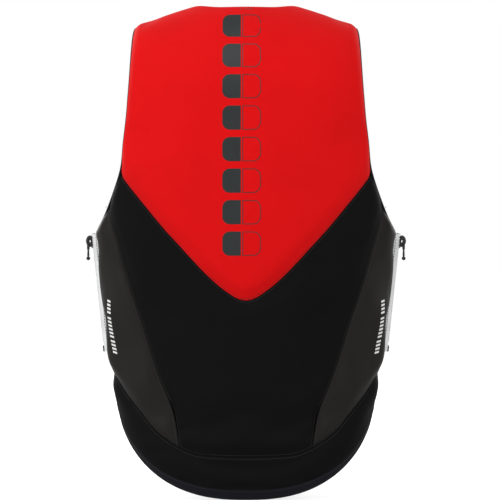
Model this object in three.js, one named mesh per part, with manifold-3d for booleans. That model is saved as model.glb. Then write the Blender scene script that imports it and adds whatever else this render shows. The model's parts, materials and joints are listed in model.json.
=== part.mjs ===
// Padded side-entry buoyancy vest: a back half that hangs on the wearer's shoulders and a front half
// that lifts away when the zip down each side is open. Millimetres, +Z up, the back faces +Y, the
// wearer's left is +X. The origin is the middle of the neck at the height of the shoulder crest.
import * as THREE from 'three';
import Module from 'manifold-3d';
import { mergeVertices } from 'three/addons/utils/BufferGeometryUtils.js';

const wasm = await Module();
wasm.setup();

// Overall sizes of the vest as worn
const CHEST_HALF_WIDTH = 190; // outside, at the underarm
const WAIST_TAPER = 0.105; // how fast each side draws in below the underarm
const HIP_TAPER = 0.16; // the same below the zips
const BACK_DEPTH = 113; // mean distance of the back from the plane of the side zips
const FRONT_DEPTH = 126; // the same for the chest
const BACK_SWELL = 7; // how much fuller the back is over the shoulder blades
const BACK_SWELL_HEIGHT = -150;
const BACK_SWELL_SPAN = 270; // down from there to where it is hollowest
const CHEST_SWELL = 9;
const CHEST_SWELL_HEIGHT = -200;
const CHEST_SWELL_SPAN = 260;
const BACK_LENGTH = 604; // shoulder crest to the foot of the back hem
const BACK_HEM_DROP = 99; // how far the back hem dips below the sides
const FRONT_HEM_DROP = 22; // the same in front
const ARMHOLE_DROP = 282; // shoulder crest to the foot of the armhole
const CREST_CURVE = 120; // height over which the back and chest bend over to the crest
const SECTION_POWER = 2.4; // squareness of the body's cross-section, 2 is an ellipse

// Neck and shoulders
const NECK_HALF_WIDTH = 55;
const BACK_NECK_DEPTH = 49; // how far the back neck edge lies behind the crest line
const FRONT_NECK_DROP = 95; // how far the front neckline scoops down
const SHOULDER_ANGLE = 42.5; // degrees round the body to the outer end of the crest
const SHOULDER_SLOPE = 0.31;
const CREST_RISE = 10; // where the crest line would pass over the neck's middle
const CREST_SOFTNESS = 30; // rounding of the crest line there

// Layers of the padded wall
const WALL = 21;
const CREST_WALL = 15; // wall over the shoulders
const SKIN = 2.5;
const LINING = 2;
const FOAM_OUTER_GAP = 1.9; // skin to foam
const FOAM_INNER_GAP = 7; // foam to lining
const SEAM_GAP = 0.6; // half of the gap between two skins
const LINING_INSET = 5.5; // the lining stops this far inside the bindings
const FOAM_INSET = 8; // foam stops this far inside its seams
const BINDING_WIDTH = 3;
const HEM_BINDING = 12;
const BINDING_PROUD = 0.8;

// Side zips
const ZIP_OPENING = 7; // half of the gap between the skins that the zip lies in
const ZIP_END_ABOVE_HEM = 75;
const ZIP_TOP_DROP = 1; // below the foot of the armhole
const TAPE_WIDTH = 12;
const TAPE_THICKNESS = 0.8;
const TAPE_STAND_OFF = 0.5;
const TEETH_WIDTH = 2.4; // across the tape, from the divider's slot
const TEETH_THICKNESS = 2;
const TEETH_PITCH = 6;
const TEETH_CORD = 0.9; // the tape's edge cord that the teeth are moulded on
const TAPE_GAP = 0.4; // cord to tape
const DIVIDER_SLOT = 1; // half of the slot between the rows that the slider's divider runs in
const SLIDER_LENGTH = 15;
const SLIDER_WIDTH = 9;
const SLIDER_PLATE = 1.3;
const SLIDER_CLEARANCE = 0.4;
const BAIL_HEIGHT = 6.5;
const BAIL_LENGTH = 9;
const BAIL_THICKNESS = 2.4;
const BAIL_BAR = 1.7;
const PULLER_LENGTH = 24;
const PULLER_PIN_RADIUS = 0.9;
const PIN_DROP = 1.6; // pin below the top of the bail's eye
const CHEEK = 1.2; // thickness of the puller's cheeks beside the bail
const CHEEK_MARGIN = 0.9; // of a cheek round the pin
const CHEEK_DROP = 8.5; // pin to stem
const STEM_HALF_THICKNESS = 1.4;
const KNOB_RADIUS = 2.8;
const FLAP_BACK_REACH = 24;
const FLAP_FRONT_REACH = 20;
const FLAP_THICKNESS = 1.5;
const FLAP_GAP = 5; // behind the wall

// Hanger loop inside the neck
const LOOP_HALF_WIDTH = 18;
const LOOP_DROP = 24;
const LOOP_BAND = 6;
const LOOP_THICKNESS = 1.6;
const LOOP_CORNER = 6;
const LOOP_CLEARANCE = 3;

const RED = new THREE.MeshStandardMaterial({ color: 0xdc161b, roughness: 0.75 });
const BLACK = new THREE.MeshStandardMaterial({ color: 0x161617, roughness: 0.8 });
const GRIP_BLACK = new THREE.MeshStandardMaterial({ color: 0x35312f, roughness: 0.45 });
const BINDING_NAVY = new THREE.MeshStandardMaterial({ color: 0x15161e, roughness: 0.85 });
const FOAM = new THREE.MeshStandardMaterial({ color: 0xd8d4c4, roughness: 0.9 });
const LINING_GREY = new THREE.MeshStandardMaterial({ color: 0x2a2b2e, roughness: 0.9 });
const TAPE_GREY = new THREE.MeshStandardMaterial({ color: 0xd8d9da, roughness: 0.8 });
const TEETH_WHITE = new THREE.MeshStandardMaterial({ color: 0xe6e7e8, roughness: 0.4 });
const MOULDED_BLACK = new THREE.MeshStandardMaterial({ color: 0x0c0c0d, roughness: 0.35 });

const { acos, asin, cos, sin, abs, hypot, max, min, sign, pow, PI } = Math;
const rad = THREE.MathUtils.degToRad;
const deg = THREE.MathUtils.radToDeg;
const lerp = THREE.MathUtils.lerp;
const vest = new THREE.Group();

// ---- The body's form -------------------------------------------------------------------------
// A place on the vest is an angle round the body, from 0 at its middle to 90 at the side, and a run
// up it: below CREST_FOOT the run is a height, and above it the wall bends over to the crest.
const CREST_FOOT = -CREST_CURVE;
const RUN_TO_CREST = CREST_CURVE * PI / 2;
const SIDE_LENGTH = BACK_LENGTH - BACK_HEM_DROP; // shoulder crest to the hem at the sides
const FRONT_LENGTH = SIDE_LENGTH + FRONT_HEM_DROP;
const ZIP_FOOT = -(SIDE_LENGTH - ZIP_END_ABOVE_HEM);

function halfWidth(z) {
  const belowArmhole = max(0, -ARMHOLE_DROP - z);
  const belowZip = min(max(0, ZIP_FOOT - z), SIDE_LENGTH + ZIP_FOOT);
  return CHEST_HALF_WIDTH - WAIST_TAPER * min(belowArmhole, SIDE_LENGTH - ARMHOLE_DROP)
    - (HIP_TAPER - WAIST_TAPER) * belowZip;
}

// The back is fullest over the shoulder blades and hollow at the waist, the chest is fullest higher up.
function depth(z, isFront) {
  if (isFront) return FRONT_DEPTH + CHEST_SWELL * cos(PI * (z - CHEST_SWELL_HEIGHT) / CHEST_SWELL_SPAN);
  return BACK_DEPTH + BACK_SWELL * cos(PI * (z - BACK_SWELL_HEIGHT) / BACK_SWELL_SPAN);
}

function crestHeight(x) {
  return CREST_RISE - SHOULDER_SLOPE * (hypot(x, CREST_SOFTNESS) - CREST_SOFTNESS);
}

const acrossShare = (angle) => sign(angle) * pow(abs(sin(rad(angle))), 2 / SECTION_POWER);
const depthShare = (angle) => pow(abs(cos(rad(angle))), 2 / SECTION_POWER);
const angleAcross = (x, z) => sign(x) * deg(asin(pow(min(1, abs(x) / halfWidth(z)), SECTION_POWER / 2)));

function surfacePoint(angle, run, isFront) {
  const bend = max(0, run / RUN_TO_CREST) * PI / 2;
  const x = CHEST_HALF_WIDTH * acrossShare(angle);
  const z = CREST_FOOT + (run < 0 ? run : (crestHeight(x) - CREST_FOOT) * sin(bend));
  const y = depth(z, isFront) * depthShare(angle) * cos(bend);
  return new THREE.Vector3(halfWidth(z) * acrossShare(angle), isFront ? -y : y, z);
}

function surfaceNormal(angle, run, isFront) {
  const step = 0.4;
  const across = surfacePoint(angle + step, run, isFront).sub(surfacePoint(angle - step, run, isFront));
  const up = surfacePoint(angle, run + step, isFront).sub(surfacePoint(angle, run - step, isFront));
  const normal = across.cross(up).normalize();
  return isFront ? normal : normal.negate();
}

function runAtHeight(angle, z) {
  if (z <= CREST_FOOT) return z - CREST_FOOT;
  const x = CHEST_HALF_WIDTH * acrossShare(angle);
  const share = (z - CREST_FOOT) / (crestHeight(x) - CREST_FOOT);
  return RUN_TO_CREST * asin(min(1, share)) / (PI / 2);
}

// Levels are heights that follow the vest's lengths: 0 crest, 1 armhole foot, 2 side hem, 3 hem foot.
function levelToHeight(level, isFront) {
  const foot = isFront ? FRONT_LENGTH : BACK_LENGTH;
  if (level <= 1) return -ARMHOLE_DROP * level;
  if (level <= 2) return lerp(-ARMHOLE_DROP, -SIDE_LENGTH, level - 1);
  return lerp(-SIDE_LENGTH, -foot, level - 2);
}

function place(angle, level, isFront) {
  return new THREE.Vector2(angle, runAtHeight(angle, levelToHeight(level, isFront)));
}

const mirrored = (point) => new THREE.Vector2(-point.x, point.y);

// The padded wall thins over the shoulders.
function wallThickness(run) {
  return lerp(WALL, CREST_WALL, THREE.MathUtils.smoothstep(run, 0, RUN_TO_CREST));
}

// How finely the panels and their edges are divided. Neighbours share the points of a common seam.
const COLUMNS = 16;
const NECK_COLUMNS = 6; // of those, the ones that end at the neck
const SIDE_COLUMNS = 5;
const HEM_COLUMNS = COLUMNS + 2 * SIDE_COLUMNS;
const SEAM_ROWS = 9; // along the side seam
const ARMHOLE_ROWS = 2; // of the centre panel, along the armhole
const YOKE_ROWS = 12;
const HEM_ROWS = 3;
const LINING_ROWS = 14;
const ARMHOLE_STEPS = 14;

// ---- Seams and edges -------------------------------------------------------------------------
// Each half's lines run from the vest's middle or top outwards on the wearer's left. The right side
// is their mirror image.
function hemLevel(angle, isFront) {
  const turn = 1 - cos(rad(angle));
  return isFront ? 3 - turn : 3 - 1.2 * turn + 0.19 * pow(turn, 6);
}

function zipEdge(level, isFront) {
  const z = levelToHeight(level, isFront);
  const angle = deg(acos(pow(ZIP_OPENING / depth(z, isFront), SECTION_POWER / 2)));
  return new THREE.Vector2(angle, z - CREST_FOOT);
}

const SEAMS = {
  back: {
    armhole: [[44.8, 0.266], [46.8, 0.46], [49.4, 0.613], [52.1, 0.745], [61.8, 0.886], [73, 0.968]],
    yokeSeam: [[37.2, 0.883], [22.5, 1.058], [11.4, 1.233], [4.2, 1.334], [0, 1.372]],
    sideSeam: [[55.1, 1.037], [48.6, 1.283], [41.5, 1.512], [34.8, 1.78], [29.2, 1.964]],
    hemCorner: [25.7, 2.374],
    hemSeamMiddle: [[17.6, 2.455], [7.6, 2.48], [0, 2.485]],
    hemSeamSide: [[37.2, 2.212], [50.9, 1.969], [59.9, 1.892], [71.6, 1.798]],
    hemSeamEnd: 1.763,
  },
  front: {
    armhole: [[43.2, 0.26], [43.6, 0.45], [45.5, 0.62], [50, 0.76], [60.5, 0.885], [73, 0.96]],
    yokeSeam: [[38, 0.86], [28, 0.94], [17, 1.03], [8, 1.09], [0, 1.115]],
    sideSeam: [[54, 1.08], [49, 1.3], [44, 1.5], [39, 1.68], [35.5, 1.8]],
    hemCorner: [34, 1.87],
    hemSeamMiddle: [[22, 1.905], [10, 1.925], [0, 1.93]],
    hemSeamSide: [[44, 1.845], [55, 1.815], [66, 1.79], [77, 1.77]],
    hemSeamEnd: 1.763,
  },
};
const YOKE_STOP = 4 / 7; // where the armhole leaves the yoke, as a share of its curve
const CENTRE_STOP = 5 / 7; // where it leaves the centre panel

function lines(isFront) {
  const seams = isFront ? SEAMS.front : SEAMS.back;
  const at = ([angle, level]) => place(angle, level, isFront);
  const corner = new THREE.Vector2(SHOULDER_ANGLE, RUN_TO_CREST);
  const armhole = new THREE.SplineCurve([corner, ...seams.armhole.map(at), zipEdge(1, isFront)]);
  const yokeEnd = armhole.getPoint(YOKE_STOP);
  const halfYoke = [yokeEnd, ...seams.yokeSeam.map(at)];
  const otherYoke = halfYoke.slice(0, -1).reverse().map(mirrored);
  const hemCorner = at(seams.hemCorner);
  const halfHem = [hemCorner, ...seams.hemSeamMiddle.map(at)];
  const otherHem = halfHem.slice(0, -1).reverse().map(mirrored);
  const side = [armhole.getPoint(CENTRE_STOP), ...seams.sideSeam.map(at), hemCorner];
  const hemEnd = zipEdge(seams.hemSeamEnd, isFront);
  return {
    armhole,
    yokeSeam: new THREE.SplineCurve([...halfYoke, ...otherYoke]),
    sideSeam: new THREE.SplineCurve(side),
    hemMiddle: new THREE.SplineCurve([...halfHem, ...otherHem]),
    hemSide: new THREE.SplineCurve([hemCorner, ...seams.hemSeamSide.map(at), hemEnd]),
    hemEnd: seams.hemSeamEnd,
  };
}

// The neck edge, from the wearer's left neck corner (-1) to the right (1).
function neckEdge(share, isFront) {
  const turn = share * PI / 2;
  const x = -NECK_HALF_WIDTH * sin(turn);
  const angle = angleAcross(x, 0);
  if (isFront) {
    const z = crestHeight(x) - (FRONT_NECK_DROP + CREST_RISE) * cos(turn);
    return new THREE.Vector2(angle, runAtHeight(angle, z));
  }
  const y = BACK_NECK_DEPTH * cos(turn);
  const bend = acos(min(1, y / (depth(0, false) * depthShare(angle))));
  return new THREE.Vector2(angle, RUN_TO_CREST * bend / (PI / 2));
}

// The vest's top edge runs along one shoulder crest, round the neck and along the other crest.
const NECK_SHARE = NECK_COLUMNS / COLUMNS;
function topEdge(share, isFront) {
  const across = 1 - 2 * share;
  if (abs(across) <= NECK_SHARE) return neckEdge(-across / NECK_SHARE, isFront);
  const neckAngle = angleAcross(NECK_HALF_WIDTH, 0);
  const outwards = (abs(across) - NECK_SHARE) / (1 - NECK_SHARE);
  return new THREE.Vector2(sign(across) * lerp(neckAngle, SHOULDER_ANGLE, outwards), RUN_TO_CREST);
}

// The upper edge of the hem binding.
function hemBindingTop(angle, isFront) {
  const z = levelToHeight(hemLevel(angle, isFront), isFront) + HEM_BINDING;
  return new THREE.Vector2(angle, z - CREST_FOOT);
}

// ---- Panels ----------------------------------------------------------------------------------
// A panel is four edge curves, each a function of a share from 0 to 1. Columns run from the wearer's
// left to the right, and rows from the lower edge to the upper one.
function panelGrid({ lower, upper, left, right }, columns, rows) {
  const grid = [];
  const corners = [lower(0), lower(1), upper(0), upper(1)];
  for (let r = 0; r <= rows; r++) {
    const v = r / rows;
    grid.push([]);
    for (let c = 0; c <= columns; c++) {
      const u = c / columns;
      const point = new THREE.Vector2()
        .addScaledVector(lower(u), 1 - v).addScaledVector(upper(u), v)
        .addScaledVector(left(v), 1 - u).addScaledVector(right(v), u)
        .addScaledVector(corners[0], -(1 - u) * (1 - v)).addScaledVector(corners[1], -u * (1 - v))
        .addScaledVector(corners[2], -(1 - u) * v).addScaledVector(corners[3], -u * v);
      grid[r].push(point);
    }
  }
  return grid;
}

// Draws a layer's outermost lines of points in by a distance, straight towards the lines inside them.
function drawIn(layer, distance) {
  const move = (edge, inner) => edge.lerp(inner, distance / edge.distanceTo(inner));
  const lastRow = layer.length - 1;
  const lastColumn = layer[0].length - 1;
  for (let c = 0; c <= lastColumn; c++) {
    move(layer[0][c], layer[1][c]);
    move(layer[lastRow][c], layer[lastRow - 1][c]);
  }
  for (const row of layer) {
    move(row[0], row[1]);
    move(row[lastColumn], row[lastColumn - 1]);
  }
  return layer;
}

// A closed wall between two depths below the surface, drawn in from its edges by the inset. Each
// depth is a function of a place. Walls on one grid have parallel facets, whatever their insets.
function wallSolid(grid, inset, outerDepth, innerDepth, isFront) {
  const rows = grid.length;
  const columns = grid[0].length;
  const layerAt = (depthBelow) => grid.map((row) => row.map(({ x: angle, y: run }) => (
    surfacePoint(angle, run, isFront)
      .addScaledVector(surfaceNormal(angle, run, isFront), -depthBelow(angle, run)))));
  const layers = [outerDepth, innerDepth].map((depthBelow) => drawIn(layerAt(depthBelow), inset));
  const positions = layers.flat(2).flatMap((point) => point.toArray());
  const outer = (r, c) => r * columns + c;
  const inner = (r, c) => rows * columns + r * columns + c;
  const index = [];
  const quad = (a, b, c, d) => index.push(a, b, c, a, c, d);
  const surface = layerAt(() => 0);
  const apart = ([r1, c1], [r2, c2]) => surface[r1][c1].distanceTo(surface[r2][c2]);
  // Each cell is split along its shorter diagonal, the same way on both faces.
  for (let r = 0; r < rows - 1; r++) {
    for (let c = 0; c < columns - 1; c++) {
      const [a, b, d, e] = [[r, c], [r, c + 1], [r + 1, c + 1], [r + 1, c]];
      const firstIsShorter = apart(a, d) <= apart(b, e);
      const [p, q, s, t] = firstIsShorter ? [a, b, d, e] : [b, d, e, a];
      quad(outer(...p), outer(...q), outer(...s), outer(...t));
      quad(inner(...p), inner(...t), inner(...s), inner(...q));
    }
  }
  for (let c = 0; c < columns - 1; c++) {
    quad(outer(0, c + 1), outer(0, c), inner(0, c), inner(0, c + 1));
    quad(outer(rows - 1, c), outer(rows - 1, c + 1), inner(rows - 1, c + 1), inner(rows - 1, c));
  }
  for (let r = 0; r < rows - 1; r++) {
    quad(outer(r, 0), outer(r + 1, 0), inner(r + 1, 0), inner(r, 0));
    quad(outer(r + 1, columns - 1), outer(r, columns - 1), inner(r, columns - 1),
      inner(r + 1, columns - 1));
  }
  return facingOut(positions, index);
}

function facingOut(positions, index) {
  const geometry = new THREE.BufferGeometry();
  geometry.setAttribute('position', new THREE.Float32BufferAttribute(positions, 3));
  const corner = (i) => new THREE.Vector3().fromArray(positions, 3 * i);
  let volume = 0;
  for (let i = 0; i < index.length; i += 3) {
    volume += corner(index[i]).dot(corner(index[i + 1]).cross(corner(index[i + 2])));
  }
  geometry.setIndex(volume < 0 ? index.slice().reverse() : index);
  geometry.computeVertexNormals();
  return geometry;
}

function addPiece(name, geometry, material, parent = vest) {
  const mesh = new THREE.Mesh(geometry, material);
  mesh.name = name;
  parent.add(mesh);
  return mesh;
}

const atDepth = (value) => () => value;

function addSkin(name, edges, columns, rows, material, isFront) {
  const grid = panelGrid(edges, columns, rows);
  addPiece(name, wallSolid(grid, SEAM_GAP, atDepth(0), atDepth(SKIN), isFront), material);
}

function addFoam(name, edges, columns, rows, isFront) {
  const grid = panelGrid(edges, columns, rows);
  const outerDepth = atDepth(SKIN + FOAM_OUTER_GAP);
  const innerDepth = (angle, run) => wallThickness(run) - LINING - FOAM_INNER_GAP;
  addPiece(name, wallSolid(grid, FOAM_INSET, outerDepth, innerDepth, isFront), FOAM);
}

function panelEdges(curves, isFront) {
  const { armhole, yokeSeam, sideSeam, hemMiddle, hemSide, hemEnd } = curves;
  const mirrorOf = (curve) => (share) => mirrored(curve(share));
  const yokeSide = (share) => armhole.getPoint(YOKE_STOP * (1 - share));
  const seamRows = SEAM_ROWS / (SEAM_ROWS + ARMHOLE_ROWS);
  const centreSide = (share) => (share <= seamRows
    ? sideSeam.getPoint(1 - share / seamRows)
    : armhole.getPoint(lerp(CENTRE_STOP, YOKE_STOP, (share - seamRows) / (1 - seamRows))));
  const zipSide = (share) => zipEdge(lerp(hemEnd, 1, share), isFront);
  const hemUpper = (share) => {
    const column = HEM_COLUMNS * share;
    if (column < SIDE_COLUMNS) return hemSide.getPoint(1 - column / SIDE_COLUMNS);
    const beyond = column - SIDE_COLUMNS - COLUMNS;
    if (beyond <= 0) return hemMiddle.getPoint((column - SIDE_COLUMNS) / COLUMNS);
    return mirrored(hemSide.getPoint(beyond / SIDE_COLUMNS));
  };
  const hemLower = (share) => hemBindingTop(hemUpper(share).x, isFront);
  const hemRail = (share) => (v) => hemLower(share).lerp(hemUpper(share), v);
  const sidePanel = {
    lower: (share) => hemSide.getPoint(1 - share),
    upper: (share) => armhole.getPoint(lerp(1, CENTRE_STOP, share)),
    left: zipSide,
    right: (share) => sideSeam.getPoint(1 - share),
  };
  const underarmRows = 1 / 2; // share of the lining's rows below the armhole
  const liningSide = (share) => (share <= underarmRows
    ? hemBindingTop(zipEdge(2, isFront).x, isFront).lerp(zipEdge(1, isFront), share / underarmRows)
    : armhole.getPoint(1 - (share - underarmRows) / (1 - underarmRows)));
  return {
    yoke: {
      lower: (share) => yokeSeam.getPoint(share),
      upper: (share) => topEdge(share, isFront),
      left: yokeSide,
      right: mirrorOf(yokeSide),
    },
    centre: {
      lower: (share) => hemMiddle.getPoint(share),
      upper: (share) => yokeSeam.getPoint(share),
      left: centreSide,
      right: mirrorOf(centreSide),
    },
    sideLeft: sidePanel,
    sideRight: {
      lower: (share) => mirrored(sidePanel.lower(1 - share)),
      upper: (share) => mirrored(sidePanel.upper(1 - share)),
      left: mirrorOf(sidePanel.right),
      right: mirrorOf(sidePanel.left),
    },
    hem: { lower: hemLower, upper: hemUpper, left: hemRail(0), right: hemRail(1) },
    whole: {
      lower: (share) => hemBindingTop(zipEdge(2, isFront).x * (1 - 2 * share), isFront),
      upper: (share) => topEdge(share, isFront),
      left: liningSide,
      right: mirrorOf(liningSide),
    },
  };
}

function addPanels(half, isFront, edges) {
  const centreRows = SEAM_ROWS + ARMHOLE_ROWS;
  addSkin(`${half}_yoke`, edges.yoke, COLUMNS, YOKE_ROWS, RED, isFront);
  addSkin(`${half}_centre_panel`, edges.centre, COLUMNS, centreRows, BLACK, isFront);
  addSkin(`${half}_side_panel_left`, edges.sideLeft, SIDE_COLUMNS, SEAM_ROWS, GRIP_BLACK, isFront);
  addSkin(`${half}_side_panel_right`, edges.sideRight, SIDE_COLUMNS, SEAM_ROWS, GRIP_BLACK, isFront);
  addSkin(`${half}_hem_panel`, edges.hem, HEM_COLUMNS, HEM_ROWS, BLACK, isFront);
  addFoam(`${half}_upper_foam`, edges.yoke, COLUMNS, YOKE_ROWS, isFront);
  addFoam(`${half}_lower_foam`, edges.centre, COLUMNS / 2, 6, isFront);
  addFoam(`${half}_side_foam_left`, edges.sideLeft, 3, 5, isFront);
  addFoam(`${half}_side_foam_right`, edges.sideRight, 3, 5, isFront);
  addFoam(`${half}_hem_foam`, edges.hem, HEM_COLUMNS / 2, 2, isFront);
  const lining = panelGrid(edges.whole, COLUMNS, LINING_ROWS);
  const lineOuter = (angle, run) => wallThickness(run) - LINING;
  const lineInner = (angle, run) => wallThickness(run);
  addPiece(`${half}_lining`, wallSolid(lining, LINING_INSET, lineOuter, lineInner, isFront), LINING_GREY);
}

// ---- Bindings --------------------------------------------------------------------------------
// A tape sewn along an edge: it stands off the edge by the seam gap and spans the wall.
function edgeTape(points, outwards, isFront) {
  const count = points.length;
  const positions = [];
  points.forEach((point, i) => {
    const before = points[max(0, i - 1)];
    const after = points[min(count - 1, i + 1)];
    const along = surfacePoint(after.x, after.y, isFront)
      .sub(surfacePoint(before.x, before.y, isFront)).normalize();
    const normal = surfaceNormal(point.x, point.y, isFront);
    const out = along.clone().cross(normal).normalize().multiplyScalar(outwards);
    const base = surfacePoint(point.x, point.y, isFront);
    const wall = wallThickness(point.y);
    const corners = [[SEAM_GAP, -BINDING_PROUD], [SEAM_GAP + BINDING_WIDTH, -BINDING_PROUD],
      [SEAM_GAP + BINDING_WIDTH, wall], [SEAM_GAP, wall]];
    for (const [off, below] of corners) {
      const corner = base.clone().addScaledVector(out, off).addScaledVector(normal, -below);
      positions.push(corner.x, corner.y, corner.z);
    }
  });
  const index = [0, 1, 2, 0, 2, 3];
  const last = 4 * (count - 1);
  index.push(last, last + 2, last + 1, last, last + 3, last + 2);
  for (let i = 0; i < count - 1; i++) {
    for (let k = 0; k < 4; k++) {
      const [a, b] = [4 * i + k, 4 * i + (k + 1) % 4];
      index.push(a, a + 4, b + 4, a, b + 4, b);
    }
  }
  return facingOut(positions, index);
}

// The shares of a curve at the ends of its equal steps, a little short of both of its ends.
function steppedShares(steps) {
  const trim = 0.012;
  return Array.from({ length: steps + 1 }, (_, i) => min(1 - trim, max(trim, i / steps)));
}

function addBindings(half, isFront, curves, hemUpper) {
  const neck = steppedShares(NECK_COLUMNS).map((share) => neckEdge(lerp(-1, 1, share), isFront));
  addPiece(`${half}_neck_binding`, edgeTape(neck, isFront ? 1 : -1, isFront), RED);
  const armhole = steppedShares(ARMHOLE_STEPS).map((share) => curves.armhole.getPoint(share));
  const left = isFront ? -1 : 1;
  addPiece(`${half}_armhole_binding_left`, edgeTape(armhole, left, isFront), BINDING_NAVY);
  const otherArmhole = armhole.map(mirrored);
  addPiece(`${half}_armhole_binding_right`, edgeTape(otherArmhole, -left, isFront), BINDING_NAVY);
  const top = (share) => hemBindingTop(hemUpper(share).x, isFront);
  const foot = (share) => top(share).sub(new THREE.Vector2(0, HEM_BINDING));
  const rail = (share) => (v) => foot(share).lerp(top(share), v);
  const hemEdges = { lower: foot, upper: top, left: rail(0), right: rail(1) };
  const hemGrid = panelGrid(hemEdges, HEM_COLUMNS, 2);
  const hem = wallSolid(hemGrid, SEAM_GAP, atDepth(-BINDING_PROUD), atDepth(WALL), isFront);
  addPiece(`${half}_hem_binding`, hem, BINDING_NAVY);
}

for (const [half, isFront] of [['back', false], ['front', true]]) {
  const curves = lines(isFront);
  const edges = panelEdges(curves, isFront);
  addPanels(half, isFront, edges);
  addBindings(half, isFront, curves, edges.hem.upper);
}

// ---- Side zips -------------------------------------------------------------------------------
// Each zip's group has its origin on the wall's outside at the zip's top, with x out of the vest and
// z up the zip.
const ZIP_TOP = -ARMHOLE_DROP - ZIP_TOP_DROP;
const ZIP_LEAN = Math.atan(WAIST_TAPER);
const ZIP_LENGTH = (ZIP_TOP - ZIP_FOOT) / cos(ZIP_LEAN);
const TEETH_INNER = -TEETH_THICKNESS / 2 + TAPE_STAND_OFF + TAPE_THICKNESS / 2;
const TEETH_OUTER = TEETH_INNER + TEETH_THICKNESS;
const TOP_STOP = 3;
const BOX_HEIGHT = 8;
const ROW_END = ZIP_LENGTH - BOX_HEIGHT;
const TEETH_EDGE = DIVIDER_SLOT + TEETH_WIDTH;

function boxBetween([x1, y1, z1], [x2, y2, z2]) {
  const box = new THREE.BoxGeometry(abs(x2 - x1), abs(y2 - y1), abs(z2 - z1));
  return box.translate((x1 + x2) / 2, (y1 + y2) / 2, (z1 + z2) / 2);
}

const extruded = (outline, length) => new THREE.ExtrudeGeometry(
  outline,
  { depth: length, bevelEnabled: false, curveSegments: 6 },
);

// Extrudes an outline drawn in y and z along x, or one drawn in x and z along y.
function extrudeAlongX(outline, x1, x2) {
  return extruded(outline, x2 - x1).rotateX(PI / 2).rotateZ(PI / 2).translate(x1, 0, 0);
}

function extrudeAlongY(outline, y1, y2) {
  return extruded(outline, y2 - y1).rotateX(PI / 2).translate(0, y2, 0);
}

function toSolid(geometry) {
  const bare = geometry.clone();
  bare.deleteAttribute('normal');
  bare.deleteAttribute('uv');
  const merged = mergeVertices(bare, 1e-4);
  return new wasm.Manifold(new wasm.Mesh({
    numProp: 3,
    vertProperties: new Float32Array(merged.attributes.position.array),
    triVerts: new Uint32Array(merged.index.array),
  }));
}

function toGeometry(solid) {
  const { vertProperties, triVerts } = solid.getMesh();
  const geometry = new THREE.BufferGeometry();
  geometry.setAttribute('position', new THREE.Float32BufferAttribute(vertProperties, 3));
  geometry.setIndex(Array.from(triVerts));
  geometry.computeVertexNormals();
  return geometry;
}

function joined(...geometries) {
  return toGeometry(geometries.map(toSolid).reduce((all, next) => all.add(next)));
}

const cutOut = (geometry, tool) => toGeometry(toSolid(geometry).subtract(toSolid(tool)));

// A row of teeth moulded on the tape's edge, with the top stop and, on the front, the pin at its foot.
function teethOutline(side, hasPin) {
  const outline = new THREE.Shape();
  const cord = TEETH_EDGE - TEETH_CORD;
  outline.moveTo(side * TEETH_EDGE, 0);
  outline.lineTo(side * DIVIDER_SLOT, 0);
  outline.lineTo(side * DIVIDER_SLOT, -TOP_STOP);
  outline.lineTo(side * cord, -TOP_STOP);
  const count = Math.floor((ROW_END - TOP_STOP) / TEETH_PITCH) - 1;
  for (let tooth = 0; tooth < count; tooth++) {
    const z = -TOP_STOP - TEETH_PITCH * (tooth + 0.5);
    outline.lineTo(side * cord, z);
    outline.lineTo(side * DIVIDER_SLOT, z);
    outline.lineTo(side * DIVIDER_SLOT, z - TEETH_PITCH / 2);
    outline.lineTo(side * cord, z - TEETH_PITCH / 2);
  }
  const foot = hasPin ? -ZIP_LENGTH : -ROW_END + SLIDER_CLEARANCE;
  if (hasPin) {
    outline.lineTo(side * cord, -ROW_END);
    outline.lineTo(side * DIVIDER_SLOT, -ROW_END);
    outline.lineTo(side * DIVIDER_SLOT, foot);
  } else {
    outline.lineTo(side * cord, foot);
  }
  outline.lineTo(side * TEETH_EDGE, foot);
  return outline;
}

function addZipHalf(group, half, wearerSide, outwards, side) {
  const tapeStart = side * (TEETH_EDGE + TAPE_GAP);
  const tapeEnd = side * (TEETH_EDGE + TAPE_GAP + TAPE_WIDTH);
  const tapeIn = outwards * TAPE_STAND_OFF;
  const tapeOut = outwards * (TAPE_STAND_OFF + TAPE_THICKNESS);
  const tape = boxBetween([tapeIn, tapeStart, 0], [tapeOut, tapeEnd, -ZIP_LENGTH]);
  addPiece(`${half}_zip_tape_${wearerSide}`, tape, TAPE_GREY, group);
  const ends = [outwards * TEETH_INNER, outwards * TEETH_OUTER].sort((a, b) => a - b);
  const teeth = extrudeAlongX(teethOutline(side, side < 0), ...ends);
  addPiece(`${half}_zip_teeth_${wearerSide}`, teeth, TEETH_WHITE, group);
}

// The slider: two plates joined by the divider between the rows, and a bail for the puller.
const SLIDER_TOP = -TOP_STOP - SLIDER_CLEARANCE;
const PLATE_OUTER = TEETH_OUTER + SLIDER_CLEARANCE;
const PLATE_INNER = TEETH_INNER - SLIDER_CLEARANCE;
const BAIL_TOP = SLIDER_TOP - 1.5;

function sliderPlate(inner, outer) {
  const half = SLIDER_WIDTH / 2;
  const foot = SLIDER_TOP - SLIDER_LENGTH;
  const outline = new THREE.Shape();
  outline.moveTo(-half + 2, SLIDER_TOP);
  outline.lineTo(half - 2, SLIDER_TOP);
  outline.quadraticCurveTo(half, SLIDER_TOP, half, SLIDER_TOP - 2.5);
  outline.lineTo(half - 1.2, foot);
  outline.lineTo(-half + 1.2, foot);
  outline.lineTo(-half, SLIDER_TOP - 2.5);
  outline.quadraticCurveTo(-half, SLIDER_TOP, -half + 2, SLIDER_TOP);
  return extrudeAlongX(outline, min(inner, outer), max(inner, outer));
}

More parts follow.
